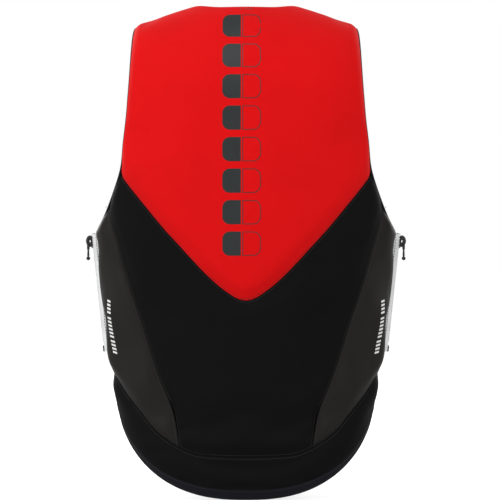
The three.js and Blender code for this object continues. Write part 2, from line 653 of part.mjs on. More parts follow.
// The bail is a block on the outer plate with an eye through it for the puller's pin.
function bail(outwards) {
  const foot = outwards * (PLATE_OUTER + 0.3);
  const crown = outwards * (PLATE_OUTER + SLIDER_PLATE + BAIL_HEIGHT);
  const outline = new THREE.Shape();
  outline.moveTo(foot, BAIL_TOP);
  outline.lineTo(crown - outwards * 2, BAIL_TOP);
  outline.lineTo(crown - outwards * 0.6, BAIL_TOP - 0.6);
  outline.lineTo(crown, BAIL_TOP - 2);
  outline.lineTo(crown, BAIL_TOP - BAIL_LENGTH + 3);
  outline.lineTo(crown - outwards, BAIL_TOP - BAIL_LENGTH + 1);
  outline.lineTo(crown - outwards * 3, BAIL_TOP - BAIL_LENGTH);
  outline.lineTo(foot, BAIL_TOP - BAIL_LENGTH);
  const block = extrudeAlongY(outline, -BAIL_THICKNESS / 2, BAIL_THICKNESS / 2);
  const eye = boxBetween(
    [outwards * (PLATE_OUTER + SLIDER_PLATE + 0.8), -BAIL_THICKNESS, BAIL_TOP - BAIL_BAR],
    [crown - outwards * BAIL_BAR, BAIL_THICKNESS, BAIL_TOP - BAIL_LENGTH + BAIL_BAR],
  );
  return cutOut(block, eye);
}

const PIN_ROOM = BAIL_BAR + SLIDER_CLEARANCE + PULLER_PIN_RADIUS;
const PIN_X = PLATE_OUTER + SLIDER_PLATE + BAIL_HEIGHT - PIN_ROOM;
const PIN_Z = BAIL_TOP - PIN_ROOM - PIN_DROP;

function addSlider(group, wearerSide, outwards) {
  const outer = sliderPlate(outwards * PLATE_OUTER, outwards * (PLATE_OUTER + SLIDER_PLATE));
  const inner = sliderPlate(outwards * PLATE_INNER, outwards * (PLATE_INNER - SLIDER_PLATE));
  const blade = DIVIDER_SLOT - SLIDER_CLEARANCE;
  const overlap = 0.3;
  const divider = boxBetween(
    [outwards * (PLATE_INNER - overlap), -blade, SLIDER_TOP - 1],
    [outwards * (PLATE_OUTER + overlap), blade, SLIDER_TOP - 6],
  );
  const slider = joined(outer, inner, divider, bail(outwards));
  addPiece(`zip_slider_${wearerSide}`, slider, MOULDED_BLACK, group);
}

// The puller hangs plumb from the bail: a pin through it, a cheek on each side, a stem and a knob.
function addPuller(parent, wearerSide, outwards) {
  const pinHalf = BAIL_THICKNESS / 2 + SLIDER_CLEARANCE + CHEEK;
  const pin = new THREE.CylinderGeometry(PULLER_PIN_RADIUS, PULLER_PIN_RADIUS, 2 * pinHalf - 0.4, 10);
  const reach = PULLER_PIN_RADIUS + CHEEK_MARGIN;
  const stemTop = -CHEEK_DROP;
  const cheeks = [-1, 1].map((side) => boxBetween(
    [-reach, side * pinHalf, reach],
    [reach, side * (pinHalf - CHEEK), stemTop - 1],
  ));
  const stem = boxBetween(
    [-STEM_HALF_THICKNESS, -pinHalf, stemTop],
    [STEM_HALF_THICKNESS, pinHalf, -PULLER_LENGTH + KNOB_RADIUS],
  );
  const knob = new THREE.CylinderGeometry(KNOB_RADIUS, KNOB_RADIUS, 2 * pinHalf + 0.6, 12);
  knob.translate(0, 0, -PULLER_LENGTH + KNOB_RADIUS);
  const shape = joined(pin, ...cheeks, stem, knob);
  const puller = addPiece(`zip_puller_${wearerSide}`, shape, MOULDED_BLACK, parent);
  puller.position.copy(pullerPin(outwards));
}

function zipPlace(outwards) {
  return new THREE.Vector3(outwards * halfWidth(ZIP_TOP), 0, ZIP_TOP);
}

function pullerPin(outwards) {
  const pin = new THREE.Vector3(outwards * PIN_X, 0, PIN_Z);
  return pin.applyAxisAngle(new THREE.Vector3(0, 1, 0), outwards * ZIP_LEAN).add(zipPlace(outwards));
}

for (const [wearerSide, outwards] of [['left', 1], ['right', -1]]) {
  const group = new THREE.Group();
  group.position.copy(zipPlace(outwards));
  group.rotation.y = outwards * ZIP_LEAN;
  vest.add(group);
  addZipHalf(group, 'back', wearerSide, outwards, 1);
  addZipHalf(group, 'front', wearerSide, outwards, -1);
  const boxOuter = outwards * (TEETH_OUTER + 0.6);
  const boxInner = outwards * (TEETH_INNER - 0.6);
  const retainer = boxBetween([boxInner, DIVIDER_SLOT, -ROW_END], [boxOuter, TEETH_EDGE, -ZIP_LENGTH]);
  addPiece(`zip_box_${wearerSide}`, retainer, MOULDED_BLACK, group);
  const flapOuter = outwards * -(WALL + FLAP_GAP);
  const flapInner = flapOuter - outwards * FLAP_THICKNESS;
  const flap = boxBetween([flapOuter, FLAP_BACK_REACH, 0], [flapInner, -FLAP_FRONT_REACH, -ZIP_LENGTH]);
  addPiece(`zip_flap_${wearerSide}`, flap, LINING_GREY, group);
  addSlider(group, wearerSide, outwards);
  addPuller(vest, wearerSide, outwards);
}

// ---- Hanger loop -----------------------------------------------------------------------------
// Flat webbing whose ends are sewn under the back neck binding. It hangs inside the neck.
function addHangerLoop() {
  const neck = neckEdge(0, false);
  const wall = wallThickness(neck.y);
  const under = surfacePoint(neck.x, neck.y, false)
    .addScaledVector(surfaceNormal(neck.x, neck.y, false), -wall);
  const outline = new THREE.Shape();
  const inner = LOOP_HALF_WIDTH - LOOP_BAND;
  outline.moveTo(-LOOP_HALF_WIDTH, 0);
  outline.lineTo(-LOOP_HALF_WIDTH, -LOOP_DROP + LOOP_CORNER);
  outline.quadraticCurveTo(-LOOP_HALF_WIDTH, -LOOP_DROP, -LOOP_HALF_WIDTH + LOOP_CORNER, -LOOP_DROP);
  outline.lineTo(LOOP_HALF_WIDTH - LOOP_CORNER, -LOOP_DROP);
  outline.quadraticCurveTo(LOOP_HALF_WIDTH, -LOOP_DROP, LOOP_HALF_WIDTH, -LOOP_DROP + LOOP_CORNER);
  outline.lineTo(LOOP_HALF_WIDTH, 0);
  outline.lineTo(inner, 0);
  outline.lineTo(inner, -LOOP_DROP + LOOP_BAND);
  outline.lineTo(-inner, -LOOP_DROP + LOOP_BAND);
  outline.lineTo(-inner, 0);
  const loop = extrudeAlongY(outline, -LOOP_THICKNESS, 0);
  loop.translate(0, under.y - LOOP_CLEARANCE, under.z - LOOP_CLEARANCE);
  addPiece('hanger_loop', loop, BINDING_NAVY);
}
addHangerLoop();

export default vest;
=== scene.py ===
import json
import math

import bpy
import numpy as np
from mathutils import Matrix, Vector
from mathutils.bvhtree import BVHTree


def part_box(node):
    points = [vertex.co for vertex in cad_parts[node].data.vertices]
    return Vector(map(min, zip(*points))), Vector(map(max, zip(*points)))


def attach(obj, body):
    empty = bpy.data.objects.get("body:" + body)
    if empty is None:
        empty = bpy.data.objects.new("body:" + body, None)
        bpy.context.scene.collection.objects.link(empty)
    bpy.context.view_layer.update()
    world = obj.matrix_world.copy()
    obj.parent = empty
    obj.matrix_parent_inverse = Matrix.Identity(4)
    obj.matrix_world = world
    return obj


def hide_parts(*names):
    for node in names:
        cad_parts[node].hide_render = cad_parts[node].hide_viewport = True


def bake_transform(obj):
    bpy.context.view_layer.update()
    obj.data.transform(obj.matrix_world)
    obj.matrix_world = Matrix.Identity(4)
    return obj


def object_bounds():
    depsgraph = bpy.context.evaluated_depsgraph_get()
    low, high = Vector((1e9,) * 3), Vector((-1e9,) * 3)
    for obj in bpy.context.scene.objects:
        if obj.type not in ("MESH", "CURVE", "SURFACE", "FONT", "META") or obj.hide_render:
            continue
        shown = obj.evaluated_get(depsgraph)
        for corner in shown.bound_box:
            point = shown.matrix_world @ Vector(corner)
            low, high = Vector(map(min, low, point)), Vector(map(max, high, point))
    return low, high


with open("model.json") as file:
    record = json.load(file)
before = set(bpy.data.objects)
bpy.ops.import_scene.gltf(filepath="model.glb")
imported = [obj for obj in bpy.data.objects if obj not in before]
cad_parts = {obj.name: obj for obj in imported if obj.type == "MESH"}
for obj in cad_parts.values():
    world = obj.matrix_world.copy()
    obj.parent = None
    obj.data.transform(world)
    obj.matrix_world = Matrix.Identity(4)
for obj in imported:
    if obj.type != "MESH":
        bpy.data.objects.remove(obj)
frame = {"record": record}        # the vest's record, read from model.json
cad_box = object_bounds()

# ---- Studio ------------------------------------------------------------------------------------
# The vest stands on a pale floor, seen straight on from behind through a long lens, with a large
# softbox on each side and even white light all round.
VIEW_WIDTH = 0.610
VIEW_DISTANCE = 3.2
camera_data = bpy.data.cameras.new("camera")
camera_data.sensor_width = 36
camera_data.lens = 36 * VIEW_DISTANCE / VIEW_WIDTH
camera = bpy.data.objects.new("camera", camera_data)
camera.location = (-0.005, VIEW_DISTANCE + 0.06, -0.304)
camera.rotation_euler = (math.pi / 2, 0, math.pi)
bpy.context.scene.collection.objects.link(camera)
bpy.context.scene.camera = camera
bpy.context.scene.view_settings.view_transform = "Standard"

SOFTBOXES = (  # place, side in metres, watts
    ((2.3, 1.0, 0.7), 1.3, 24),
    ((-2.0, 2.2, 0.5), 1.5, 15),
    ((0.2, 1.8, 2.0), 1.4, 30),
    ((1.6, -2.2, 0.7), 1.6, 32),
    ((-1.8, -2.0, 0.6), 1.6, 24),
)
for number, (place, side, watts) in enumerate(SOFTBOXES):
    lamp = bpy.data.lights.new(f"softbox_{number}", "AREA")
    lamp.size, lamp.energy = side, watts
    holder = bpy.data.objects.new(lamp.name, lamp)
    holder.location = place
    aim = Vector((0, 0, -0.3)) - Vector(place)
    holder.rotation_euler = aim.to_track_quat("-Z", "Y").to_euler()
    bpy.context.scene.collection.objects.link(holder)

world = bpy.data.worlds.new("studio")
bpy.context.scene.world = world
world.use_nodes = True
sky = world.node_tree.nodes["Background"]
sky.inputs["Color"].default_value = (1, 1, 1, 1)
sky.inputs["Strength"].default_value = 0.42
backdrop = world.node_tree.nodes.new("ShaderNodeBackground")
backdrop.inputs["Color"].default_value = (1, 1, 1, 1)
rays = world.node_tree.nodes.new("ShaderNodeLightPath")
either = world.node_tree.nodes.new("ShaderNodeMixShader")
world.node_tree.links.new(rays.outputs["Is Camera Ray"], either.inputs[0])
world.node_tree.links.new(sky.outputs[0], either.inputs[1])
world.node_tree.links.new(backdrop.outputs[0], either.inputs[2])
world.node_tree.links.new(either.outputs[0], world.node_tree.nodes["World Output"].inputs[0])

bpy.ops.object.select_all(action="DESELECT")
bpy.ops.mesh.primitive_plane_add(size=60, location=(0, 0, cad_box[0].z - 0.001))
floor = bpy.context.object
floor.name = "floor"
floor_paint = bpy.data.materials.new("floor_paint")
floor_paint.use_nodes = True
paper = floor_paint.node_tree.nodes["Principled BSDF"]
paper.inputs["Base Color"].default_value = (0.80, 0.80, 0.80, 1)
paper.inputs["Roughness"].default_value = 0.9
paper.inputs["Specular IOR Level"].default_value = 0
paper.inputs["Emission Color"].default_value = (1, 1, 1, 1)
glow = floor_paint.node_tree.nodes.new("ShaderNodeMath")
glow.operation = "MULTIPLY"
glow.inputs[1].default_value = 0.70
seen = floor_paint.node_tree.nodes.new("ShaderNodeLightPath")
floor_paint.node_tree.links.new(seen.outputs["Is Camera Ray"], glow.inputs[0])
floor_paint.node_tree.links.new(glow.outputs[0], paper.inputs["Emission Strength"])
floor.data.materials.append(floor_paint)

# ---- Yokes -------------------------------------------------------------------------------------
# The two red upper panels, which meet on the shoulder crest and end below in a deep V. Foam under
# jersey-faced neoprene, cut to one pattern, pulled tight over the foam and pinched at its seams.
HALVES = (("back", False), ("front", True))
BODY = {node: body for body, nodes in frame["record"]["behaviour"]["bodies"].items() for node in nodes}
CREST_FOOT = -0.120
RUN_TO_CREST = 0.120 * math.pi / 2
ARMHOLE_FOOT, SIDE_FOOT, HEM_FOOT = -0.282, -0.505, {False: -0.604, True: -0.527}
CHEST = 0.190
WAIST, SIDE_TAPER, LOW_TAPER = -0.430, 0.105, 0.055
ROUNDNESS = 2.4
POWER = ROUNDNESS / 2
SHOULDER_ANGLE = 42.5
SHOULDER_TOP, SHOULDER_SLOPE, SHOULDER_ROUND = 0.010, 0.31, 0.030
NECK_HALF, FRONT_NECK_DROP, BACK_NECK_DEPTH = 0.055, 0.105, 0.049
ZIP_GAP = 0.007


def half_width(z):
    below_armhole = np.clip(ARMHOLE_FOOT - z, 0, ARMHOLE_FOOT - SIDE_FOOT)
    below_waist = np.clip(WAIST - z, 0, WAIST - SIDE_FOOT)
    return CHEST - SIDE_TAPER * below_armhole - LOW_TAPER * below_waist


# Half the vest's depth, back and front: mean, swing, height of the deepest place, and rise of the swing.
DEPTHS = {False: (0.113, 0.007, -0.150, 0.270), True: (0.126, 0.009, -0.200, 0.260)}


def body_depth(z, front):
    mean, swing, deepest, rise = DEPTHS[front]
    return mean + swing * np.cos(np.pi * (z - deepest) / rise)


def crest_height(x):
    return SHOULDER_TOP - SHOULDER_SLOPE * (np.hypot(x, SHOULDER_ROUND) - SHOULDER_ROUND)


def across_share(angle):
    """How far across the vest an angle round it reaches, from -1 to 1."""
    return np.sign(angle) * np.abs(np.sin(np.radians(angle))) ** (1 / POWER)


def away_share(angle):
    """How far towards its front or back an angle round the vest reaches, from 0 to 1."""
    return np.abs(np.cos(np.radians(angle))) ** (1 / POWER)


def angle_across(share):
    return np.degrees(np.arcsin(share ** POWER))


def angle_by_zip(gap, z, front):
    """The angle round the vest of a place at a gap from the middle of the zip."""
    return np.degrees(np.arccos((gap / body_depth(z, front)) ** POWER))


def unit(vectors):
    return vectors / np.linalg.norm(vectors, axis=-1, keepdims=True)


def surface(angle, run, front):
    """The vest's outside at an angle round the body and a run up it, as an array of points."""
    angle, run = np.broadcast_arrays(np.asarray(angle, float), np.asarray(run, float))
    bend = np.maximum(0, run / RUN_TO_CREST) * np.pi / 2
    across = across_share(angle)
    rise = (crest_height(CHEST * across) - CREST_FOOT) * np.sin(bend)
    z = CREST_FOOT + np.where(run < 0, run, rise)
    y = body_depth(z, front) * away_share(angle) * np.cos(bend)
    return np.stack([half_width(z) * across, -y if front else y, z], -1)


def outward(angle, run, front):
    """The unit normal out of the vest at each of those points."""
    across = surface(angle + 0.4, run, front) - surface(angle - 0.4, run, front)
    up = surface(angle, run + 0.0004, front) - surface(angle, run - 0.0004, front)
    return unit(np.cross(across, up) if front else np.cross(up, across))


def laid_out(angle, run, front):
    return surface(angle, run, front), outward(angle, run, front)


def run_at(angle, z):
    share = (z - CREST_FOOT) / (crest_height(CHEST * across_share(angle)) - CREST_FOOT)
    bent = RUN_TO_CREST * np.arcsin(np.clip(share, -1, 1)) / (np.pi / 2)
    return np.where(z <= CREST_FOOT, z - CREST_FOOT, bent)


def level_height(level, front):
    return np.interp(level, [0, 1, 2, 3], [0, ARMHOLE_FOOT, SIDE_FOOT, HEM_FOOT[front]])


def spline(points, share):
    """Points along a smooth curve through the given ones."""
    points = np.asarray(points, float)
    reach = np.asarray(share, float) * (len(points) - 1)
    first = np.clip(np.floor(reach).astype(int), 0, len(points) - 1)
    t = (reach - first)[:, None]
    a, b, c, d = (points[np.clip(first + k, 0, len(points) - 1)] for k in (-1, 0, 1, 2))
    v, w = (c - a) / 2, (d - b) / 2
    return (2 * b - 2 * c + v + w) * t ** 3 + (3 * c - 3 * b - 2 * v - w) * t ** 2 + v * t + b


def zip_edge(level, front, gap=ZIP_GAP):
    z = level_height(level, front)
    return np.stack([angle_by_zip(gap, z, front), z - CREST_FOOT], -1)


def neck_edge(share, front):
    turn = np.asarray(share, float) * np.pi / 2
    x = -NECK_HALF * np.sin(turn)
    angle = np.sign(x) * angle_across(np.abs(x) / CHEST)
    if front:
        return np.stack([angle, run_at(angle, crest_height(x) - FRONT_NECK_DROP * np.cos(turn))], -1)
    reach = body_depth(0, False) * away_share(angle)
    bend = np.arccos(np.clip(BACK_NECK_DEPTH * np.cos(turn) / reach, 0, 1))
    return np.stack([angle, RUN_TO_CREST * bend / (np.pi / 2)], -1)


NECK_SHARE = 6 / 16


def top_edge(share, front):
    across = 1 - 2 * np.asarray(share, float)
    neck = neck_edge(np.clip(-across / NECK_SHARE, -1, 1), front)
    neck_angle = angle_across(NECK_HALF / CHEST)
    out = (np.abs(across) - NECK_SHARE) / (1 - NECK_SHARE)
    angle = np.sign(across) * (neck_angle + (SHOULDER_ANGLE - neck_angle) * out)
    crest = np.stack([angle, np.full_like(angle, RUN_TO_CREST)], -1)
    return np.where((np.abs(across) <= NECK_SHARE)[:, None], neck, crest)


def hem_run(angle, front):
    turn = 1 - np.cos(np.radians(angle))
    level = 3 - turn if front else 3 - 1.2 * turn + 0.19 * turn ** 6
    return level_height(level, front) - CREST_FOOT


# Seam points as (angle round the body, level): 0 crest, 1 armhole foot, 2 side hem, 3 hem foot.
SEAMS = {
    False: dict(
        armhole=[(44.8, .266), (46.8, .46), (49.4, .613), (52.1, .745), (61.8, .886), (73, .968)],
        yoke=[(37.2, .883), (22.5, 1.058), (11.4, 1.233), (4.2, 1.334), (0, 1.372)],
        side=[(55.1, 1.037), (48.6, 1.283), (41.5, 1.512), (34.8, 1.78), (29.2, 1.964)],
        corner=(25.7, 2.374),
        hem=[(17.6, 2.455), (7.6, 2.48), (0, 2.485)],
        hem_side=[(37.2, 2.212), (50.9, 1.969), (59.9, 1.892), (71.6, 1.798)]),
    True: dict(
        armhole=[(43.2, .26), (43.6, .45), (45.5, .62), (50, .76), (60.5, .885), (73, .96)],
        yoke=[(38, .86), (28, .94), (17, 1.03), (8, 1.09), (0, 1.115)],
        side=[(54, 1.08), (49, 1.3), (44, 1.5), (39, 1.68), (35.5, 1.8)],
        corner=(34, 1.87),
        hem=[(22, 1.905), (10, 1.925), (0, 1.93)],
        hem_side=[(44, 1.845), (55, 1.815), (66, 1.79), (77, 1.77)]),
}
YOKE_STOP, CENTRE_STOP, HEM_SEAM_END = 4 / 7, 5 / 7, 1.763
MIRROR = np.array([-1, 1])


def seam_lines(front):
    """Each of the half's seams, as a function from shares to (angle, run)."""
    seams = SEAMS[front]

    def spots(pairs):
        pairs = np.atleast_2d(pairs)
        return np.stack([pairs[:, 0], run_at(pairs[:, 0], level_height(pairs[:, 1], front))], -1)

    def mirrored_from(half):
        return np.concatenate([half, half[-2::-1] * MIRROR])

    shoulder = [(SHOULDER_ANGLE, RUN_TO_CREST)]
    armhole_points = np.concatenate([shoulder, spots(seams["armhole"]), [zip_edge(1, front)]])
    armhole = lambda s: spline(armhole_points, s)
    yoke_points = mirrored_from(np.concatenate([armhole(np.array([YOKE_STOP])), spots(seams["yoke"])]))
    corner = spots(seams["corner"])
    side_points = np.concatenate([armhole(np.array([CENTRE_STOP])), spots(seams["side"]), corner])
    hem_points = mirrored_from(np.concatenate([corner, spots(seams["hem"])]))
    end_points = np.concatenate([corner, spots(seams["hem_side"]), [zip_edge(HEM_SEAM_END, front)]])
    return dict(
        armhole=armhole,
        yoke=lambda s: spline(yoke_points, s),
        side=lambda s: spline(side_points, s),
        hem=lambda s: spline(hem_points, s),
        hem_side=lambda s: spline(end_points, s))


LINES = {front: seam_lines(front) for _, front in HALVES}


def on_surface(line, front):
    return surface(line[..., 0], line[..., 1], front)


def from_line(points, line):
    """Each point's distance from a line of points."""
    a, b = line[:-1], line[1:]
    along = b - a
    length = np.maximum((along ** 2).sum(-1), 1e-12)
    flat = points.reshape(-1, 3)
    nearest = np.empty(len(flat))
    for start in range(0, len(flat), 2000):
        gap = flat[start:start + 2000, None] - a
        share = np.clip((gap * along).sum(-1) / length, 0, 1)
        nearest[start:start + 2000] = np.linalg.norm(gap - share[..., None] * along, axis=-1).min(1)
    return nearest.reshape(points.shape[:-1])


def free_edges(front):
    """The half's unsewn edges as lines of points: neck and armholes, zips, and hem."""
    steps = np.linspace(0, 1, 160)
    armhole = LINES[front]["armhole"](steps)
    zips = zip_edge(1 + 1.1 * steps, front)
    hem_angles = np.linspace(-88, 88, 300)
    hem = surface(hem_angles, hem_run(hem_angles, front), front)
    neck = on_surface(neck_edge(2 * steps - 1, front), front)
    round_edges = [neck] + [on_surface(armhole * m, front) for m in (1, MIRROR)]
    return round_edges, [on_surface(zips * m, front) for m in (1, MIRROR)], [hem]


EDGES = {front: free_edges(front) for _, front in HALVES}


WALL, SHOULDER_THINNING = 0.021, 0.006
FACE_ROLL = dict(round=(0.0040, 0.013), hem=(0.0060, 0.038))  # depth at the edge, and how far in it runs
LINING_ROLL = dict(round=(0.0045, 0.015), hem=(0.0062, 0.040))
ZIP_FALL, ZIP_FLAT, ZIP_SLOPE = 0.0050, 0.006, 0.032


def eased(share):
    """From 0 to 1 with a soft start and end."""
    share = np.clip(share, 0, 1)
    return share * share * (3 - 2 * share)


def rolled(distance, roll):
    depth, reach = roll
    return depth * np.clip(1 - distance / reach, 0, 1) ** 2


def wall_faces(points, run, front):
    """How far the face and the lining fall towards each other, as the wall thins at free edges."""
    edge, zips, hem = (np.min([from_line(points, line) for line in lines], 0) for lines in EDGES[front])
    side = ZIP_FALL * (1 - eased((zips - ZIP_FLAT) / ZIP_SLOPE))
    face = rolled(edge, FACE_ROLL["round"]) ** 2 + side ** 2 + rolled(hem, FACE_ROLL["hem"]) ** 2
    lift = np.hypot(rolled(edge, LINING_ROLL["round"]), rolled(hem, LINING_ROLL["hem"]))
    return np.sqrt(face), WALL - SHOULDER_THINNING * eased(run / RUN_TO_CREST) - lift


def coons(edges, u, v):
    """A grid of (angle, run) between four edge curves."""
    low, high, left, right = (edges[k](s) for k, s in (("lower", u), ("upper", u), ("left", v), ("right", v)))
    us, vs = u[None, :, None], v[:, None, None]
    grid = (1 - vs) * low + vs * high + (1 - us) * left[:, None] + us * right[:, None]
    grid -= (1 - us) * (1 - vs) * low[0] + us * (1 - vs) * low[-1]
    grid -= (1 - us) * vs * high[0] + us * vs * high[-1]
    return grid


def relaxed(grid, u, v):
    """The grid with its inside evened out, so that a corner in one edge doesn't run on across it."""
    du, dv = np.diff(u)[:, None], np.diff(v)[:, None, None]
    left, right = (1 / (side * (du[:-1] + du[1:])) for side in (du[:-1], du[1:]))
    below, above = (1 / (side * (dv[:-1] + dv[1:])) for side in (dv[:-1], dv[1:]))
    for _ in range(400):
        beside = left * grid[1:-1, :-2] + right * grid[1:-1, 2:]
        grid[1:-1, 1:-1] = (beside + below * grid[:-2, 1:-1] + above * grid[2:, 1:-1]) / (
            left + right + below + above)
    return grid


def graded(count, crowding=0.72):
    """Shares from 0 to 1 that crowd towards both ends, where the cloth is pinched."""
    t = np.linspace(0, 1, count)
    return t - crowding * np.sin(2 * np.pi * t) / (2 * np.pi)


def grid_faces(rows, columns, start=0):
    first = start + np.arange(rows - 1)[:, None] * columns + np.arange(columns - 1)
    return np.stack([first, first + 1, first + columns + 1, first + columns], -1).reshape(-1, 4)


def closed_faces(rows, columns):
    """Faces of a closed wall whose outer grid is followed by its inner grid."""
    outer = grid_faces(rows, columns)
    count = rows * columns
    inner = grid_faces(rows, columns, count)[:, ::-1]
    index = np.arange(count).reshape(rows, columns)
    rim = np.concatenate([index[0], index[1:, -1], index[-1, -2::-1], index[-2:0:-1, 0]])
    after = np.roll(rim, -1)
    walls = np.stack([rim, rim + count, after + count, after], -1)
    return np.concatenate([outer, inner, walls])


def outwards(points, faces):
    """The faces of a closed shape, turned so that they point out."""
    a, b, c, d = (points[faces[:, k]] for k in range(4))
    volume = (a * np.cross(b, c)).sum() + (a * np.cross(c, d)).sum()
    return faces[:, ::-1] if volume < 0 else faces


def plain_piece(name, points, faces, material):
    mesh = bpy.data.meshes.new(name)
    mesh.from_pydata(points.tolist(), [], faces.tolist())
    mesh.materials.append(material)
    piece = bpy.data.objects.new(name, mesh)
    bpy.context.scene.collection.objects.link(piece)
    return piece


def make_piece(name, points, faces, material, cloth_map, angle=40):
    """A closed piece of cloth with its own cloth map, shaded smooth up to an angle."""
    points = points.reshape(-1, 3)
    piece = plain_piece(name, points, outwards(points, np.asarray(faces)), material)
    corners = np.empty(len(piece.data.loops), int)
    piece.data.loops.foreach_get("vertex_index", corners)
    layer = piece.data.uv_layers.new(name="cloth")
    layer.data.foreach_set("uv", cloth_map.reshape(-1, 2)[corners].ravel())
    bpy.ops.object.select_all(action="DESELECT")
    piece.select_set(True)
    bpy.context.view_layer.objects.active = piece
    bpy.ops.object.shade_smooth_by_angle(angle=math.radians(angle))
    return piece


def wall_piece(name, outer, inner, material, cloth_map):
    """A sheet with a thickness, from the grids of its two sides."""
    points = np.concatenate([outer.reshape(-1, 3), inner.reshape(-1, 3)])
    mapping = np.concatenate([cloth_map, cloth_map])
    return make_piece(name, points, closed_faces(*outer.shape[:2]), material, mapping)


def lengths_along(line):
    """The length from a line's start to each of its points."""
    return np.concatenate([[0], np.cumsum(np.linalg.norm(np.diff(line, axis=0), axis=1))])


ARC_ANGLES = np.linspace(-90, 90, 361)
ARC = lengths_along(surface(ARC_ANGLES, -0.1, False))
ARC -= ARC[180]


def cloth_map_of(grid):
    """Lengths round and up the vest, in metres, for weaves that follow the cloth."""
    return np.stack([np.interp(grid[..., 0], ARC_ANGLES, ARC), grid[..., 1]], -1)


CLOTH_STEPS = 30
PUFF_CAP = 0.0045


def puff(face, normals):
    """How far a panel's face swells when its cloth is sewn down all round and the foam pushes out."""
    rows, columns = face.shape[:2]
    mesh = bpy.data.meshes.new("cloth_trial")
    mesh.from_pydata(face.reshape(-1, 3).tolist(), [], grid_faces(rows, columns).tolist())
    mesh.update()
    trial = bpy.data.objects.new("cloth_trial", mesh)
    bpy.context.scene.collection.objects.link(trial)
    if (np.array(mesh.polygons[len(mesh.polygons) // 2].normal) * normals[rows // 2, columns // 2]).sum() < 0:
        mesh.flip_normals()
    border = np.zeros((rows, columns), bool)
    border[[0, -1]] = border[:, [0, -1]] = True
    trial.vertex_groups.new(name="sewn").add(np.flatnonzero(border).tolist(), 1, "REPLACE")
    cloth = trial.modifiers.new("cloth", "CLOTH")
    cloth.settings.quality = 6
    cloth.settings.mass = 0.4
    cloth.settings.tension_stiffness = cloth.settings.compression_stiffness = 25
    cloth.settings.bending_stiffness = 12
    cloth.settings.vertex_group_mass = "sewn"
    cloth.settings.use_pressure = True
    cloth.settings.uniform_pressure_force = 4
    cloth.settings.shrink_min = -0.012
    cloth.settings.effector_weights.gravity = 0
    cloth.collision_settings.use_collision = False
    cloth.point_cache.frame_start, cloth.point_cache.frame_end = 1, 20
    for step in range(1, 21):
        bpy.context.scene.frame_set(step)
    settled = trial.evaluated_get(bpy.context.evaluated_depsgraph_get()).data
    moved = np.empty(rows * columns * 3, np.float32)
    settled.vertices.foreach_get("co", moved)
    shift = moved.reshape(rows, columns, 3) - face
    bpy.data.objects.remove(trial)
    bpy.data.meshes.remove(mesh)
    bpy.context.scene.frame_set(1)
    rise = (shift * normals).sum(-1)
    return PUFF_CAP * np.tanh(rise / PUFF_CAP)


def resampled(values, u, v):
    """A coarse grid's values at the shares u and v, smoothed so its cells don't show."""
    steps = np.linspace(0, 1, values.shape[1])
    wide = np.array([np.interp(u, steps, row) for row in values])
    steps = np.linspace(0, 1, values.shape[0])
    fine = np.array([np.interp(v, steps, column) for column in wide.T]).T
    for _ in range(10):
        middle = fine[1:-1, 1:-1]
        around = fine[:-2, 1:-1] + fine[2:, 1:-1] + fine[1:-1, :-2] + fine[1:-1, 2:]
        fine[1:-1, 1:-1] = middle * 0.4 + around * 0.15
    return fine


SEAM_GAP = 0.0002
PINCHES = ((0.0017, 0.0024), (0.0019, 0.012))  # depth and reach of the narrow and the wide pull
SEAM_HOLD = 0.010                              # how far from a seam the cloth can't swell freely
FLAT_SHARE = 0.25                              # a seam on the crest is only this deep
LINING_ROOM = 0.0024                           # the panel's back stays this far in front of the lining
PANELS = {}


def laid_on(outer):
    """A tree of a grid's faces, for laying thread and film on it."""
    return BVHTree.FromPolygons(outer.reshape(-1, 3).tolist(), grid_faces(*outer.shape[:2]).tolist())


def pinch(gap):
    """How deep a seam pulls the cloth in at a distance from it."""
    return sum(depth * np.exp(-(gap / reach) ** 2) for depth, reach in PINCHES)


def panel(name, edges, seams, front, columns, rows, material, puckers=(), flat_seams=()):
    """A padded panel: face, back and rim, with its sewn edges pinched down and its middle swelled."""
    u, v = graded(columns), graded(rows)
    grid = relaxed(coons(edges, u, v), u, v)
    angle, run = grid[..., 0], grid[..., 1]
    base, normals = laid_out(angle, run, front)
    fall, lining = wall_faces(base, run, front)
    sewn = np.min([from_line(base, on_surface(line, front)) for line in seams], 0)
    groove = pinch(sewn)
    for line in flat_seams:
        groove += FLAT_SHARE * pinch(from_line(base, on_surface(line, front)))
    rise = np.zeros_like(fall)
    even = [np.linspace(0, 1, CLOTH_STEPS)] * 2
    coarse = relaxed(coons(edges, *even), *even)
    rise = resampled(puff(*laid_out(coarse[..., 0], coarse[..., 1], front)), u, v)
    rise *= 1 - np.exp(-(sewn / SEAM_HOLD) ** 2)
    for x, z, width, height, depth in puckers:
        rise -= depth * np.exp(-((base[..., 0] - x) / width) ** 2 - ((base[..., 2] - z) / height) ** 2)
    outer = base + normals * (rise - fall - groove)[..., None]
    inner = base - normals * (lining - LINING_ROOM)[..., None]
    for face in (outer, inner):
        for edge, beside in ((face[0], face[1]), (face[-1], face[-2]),
                             (face[:, 0], face[:, 1]), (face[:, -1], face[:, -2])):
            step = beside - edge
            edge += step * np.minimum(SEAM_GAP / np.linalg.norm(step, axis=-1, keepdims=True), 0.5)
    piece = wall_piece(name, outer, inner, material, cloth_map_of(grid))
    PANELS[name] = laid_on(outer)
    return piece


def over_crest(piece):
    """The piece with its placement baked into its mesh; it is attached to neither half."""
    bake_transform(piece)


def calc(tree, operation, *values):
    """A Math node's output, from numbers or other outputs."""
    node = tree.nodes.new("ShaderNodeMath")
    node.operation = operation
    for socket, value in zip(node.inputs, values):
        if isinstance(value, (int, float)):
            socket.default_value = value
        else:
            tree.links.new(value, socket)
    return node.outputs[0]


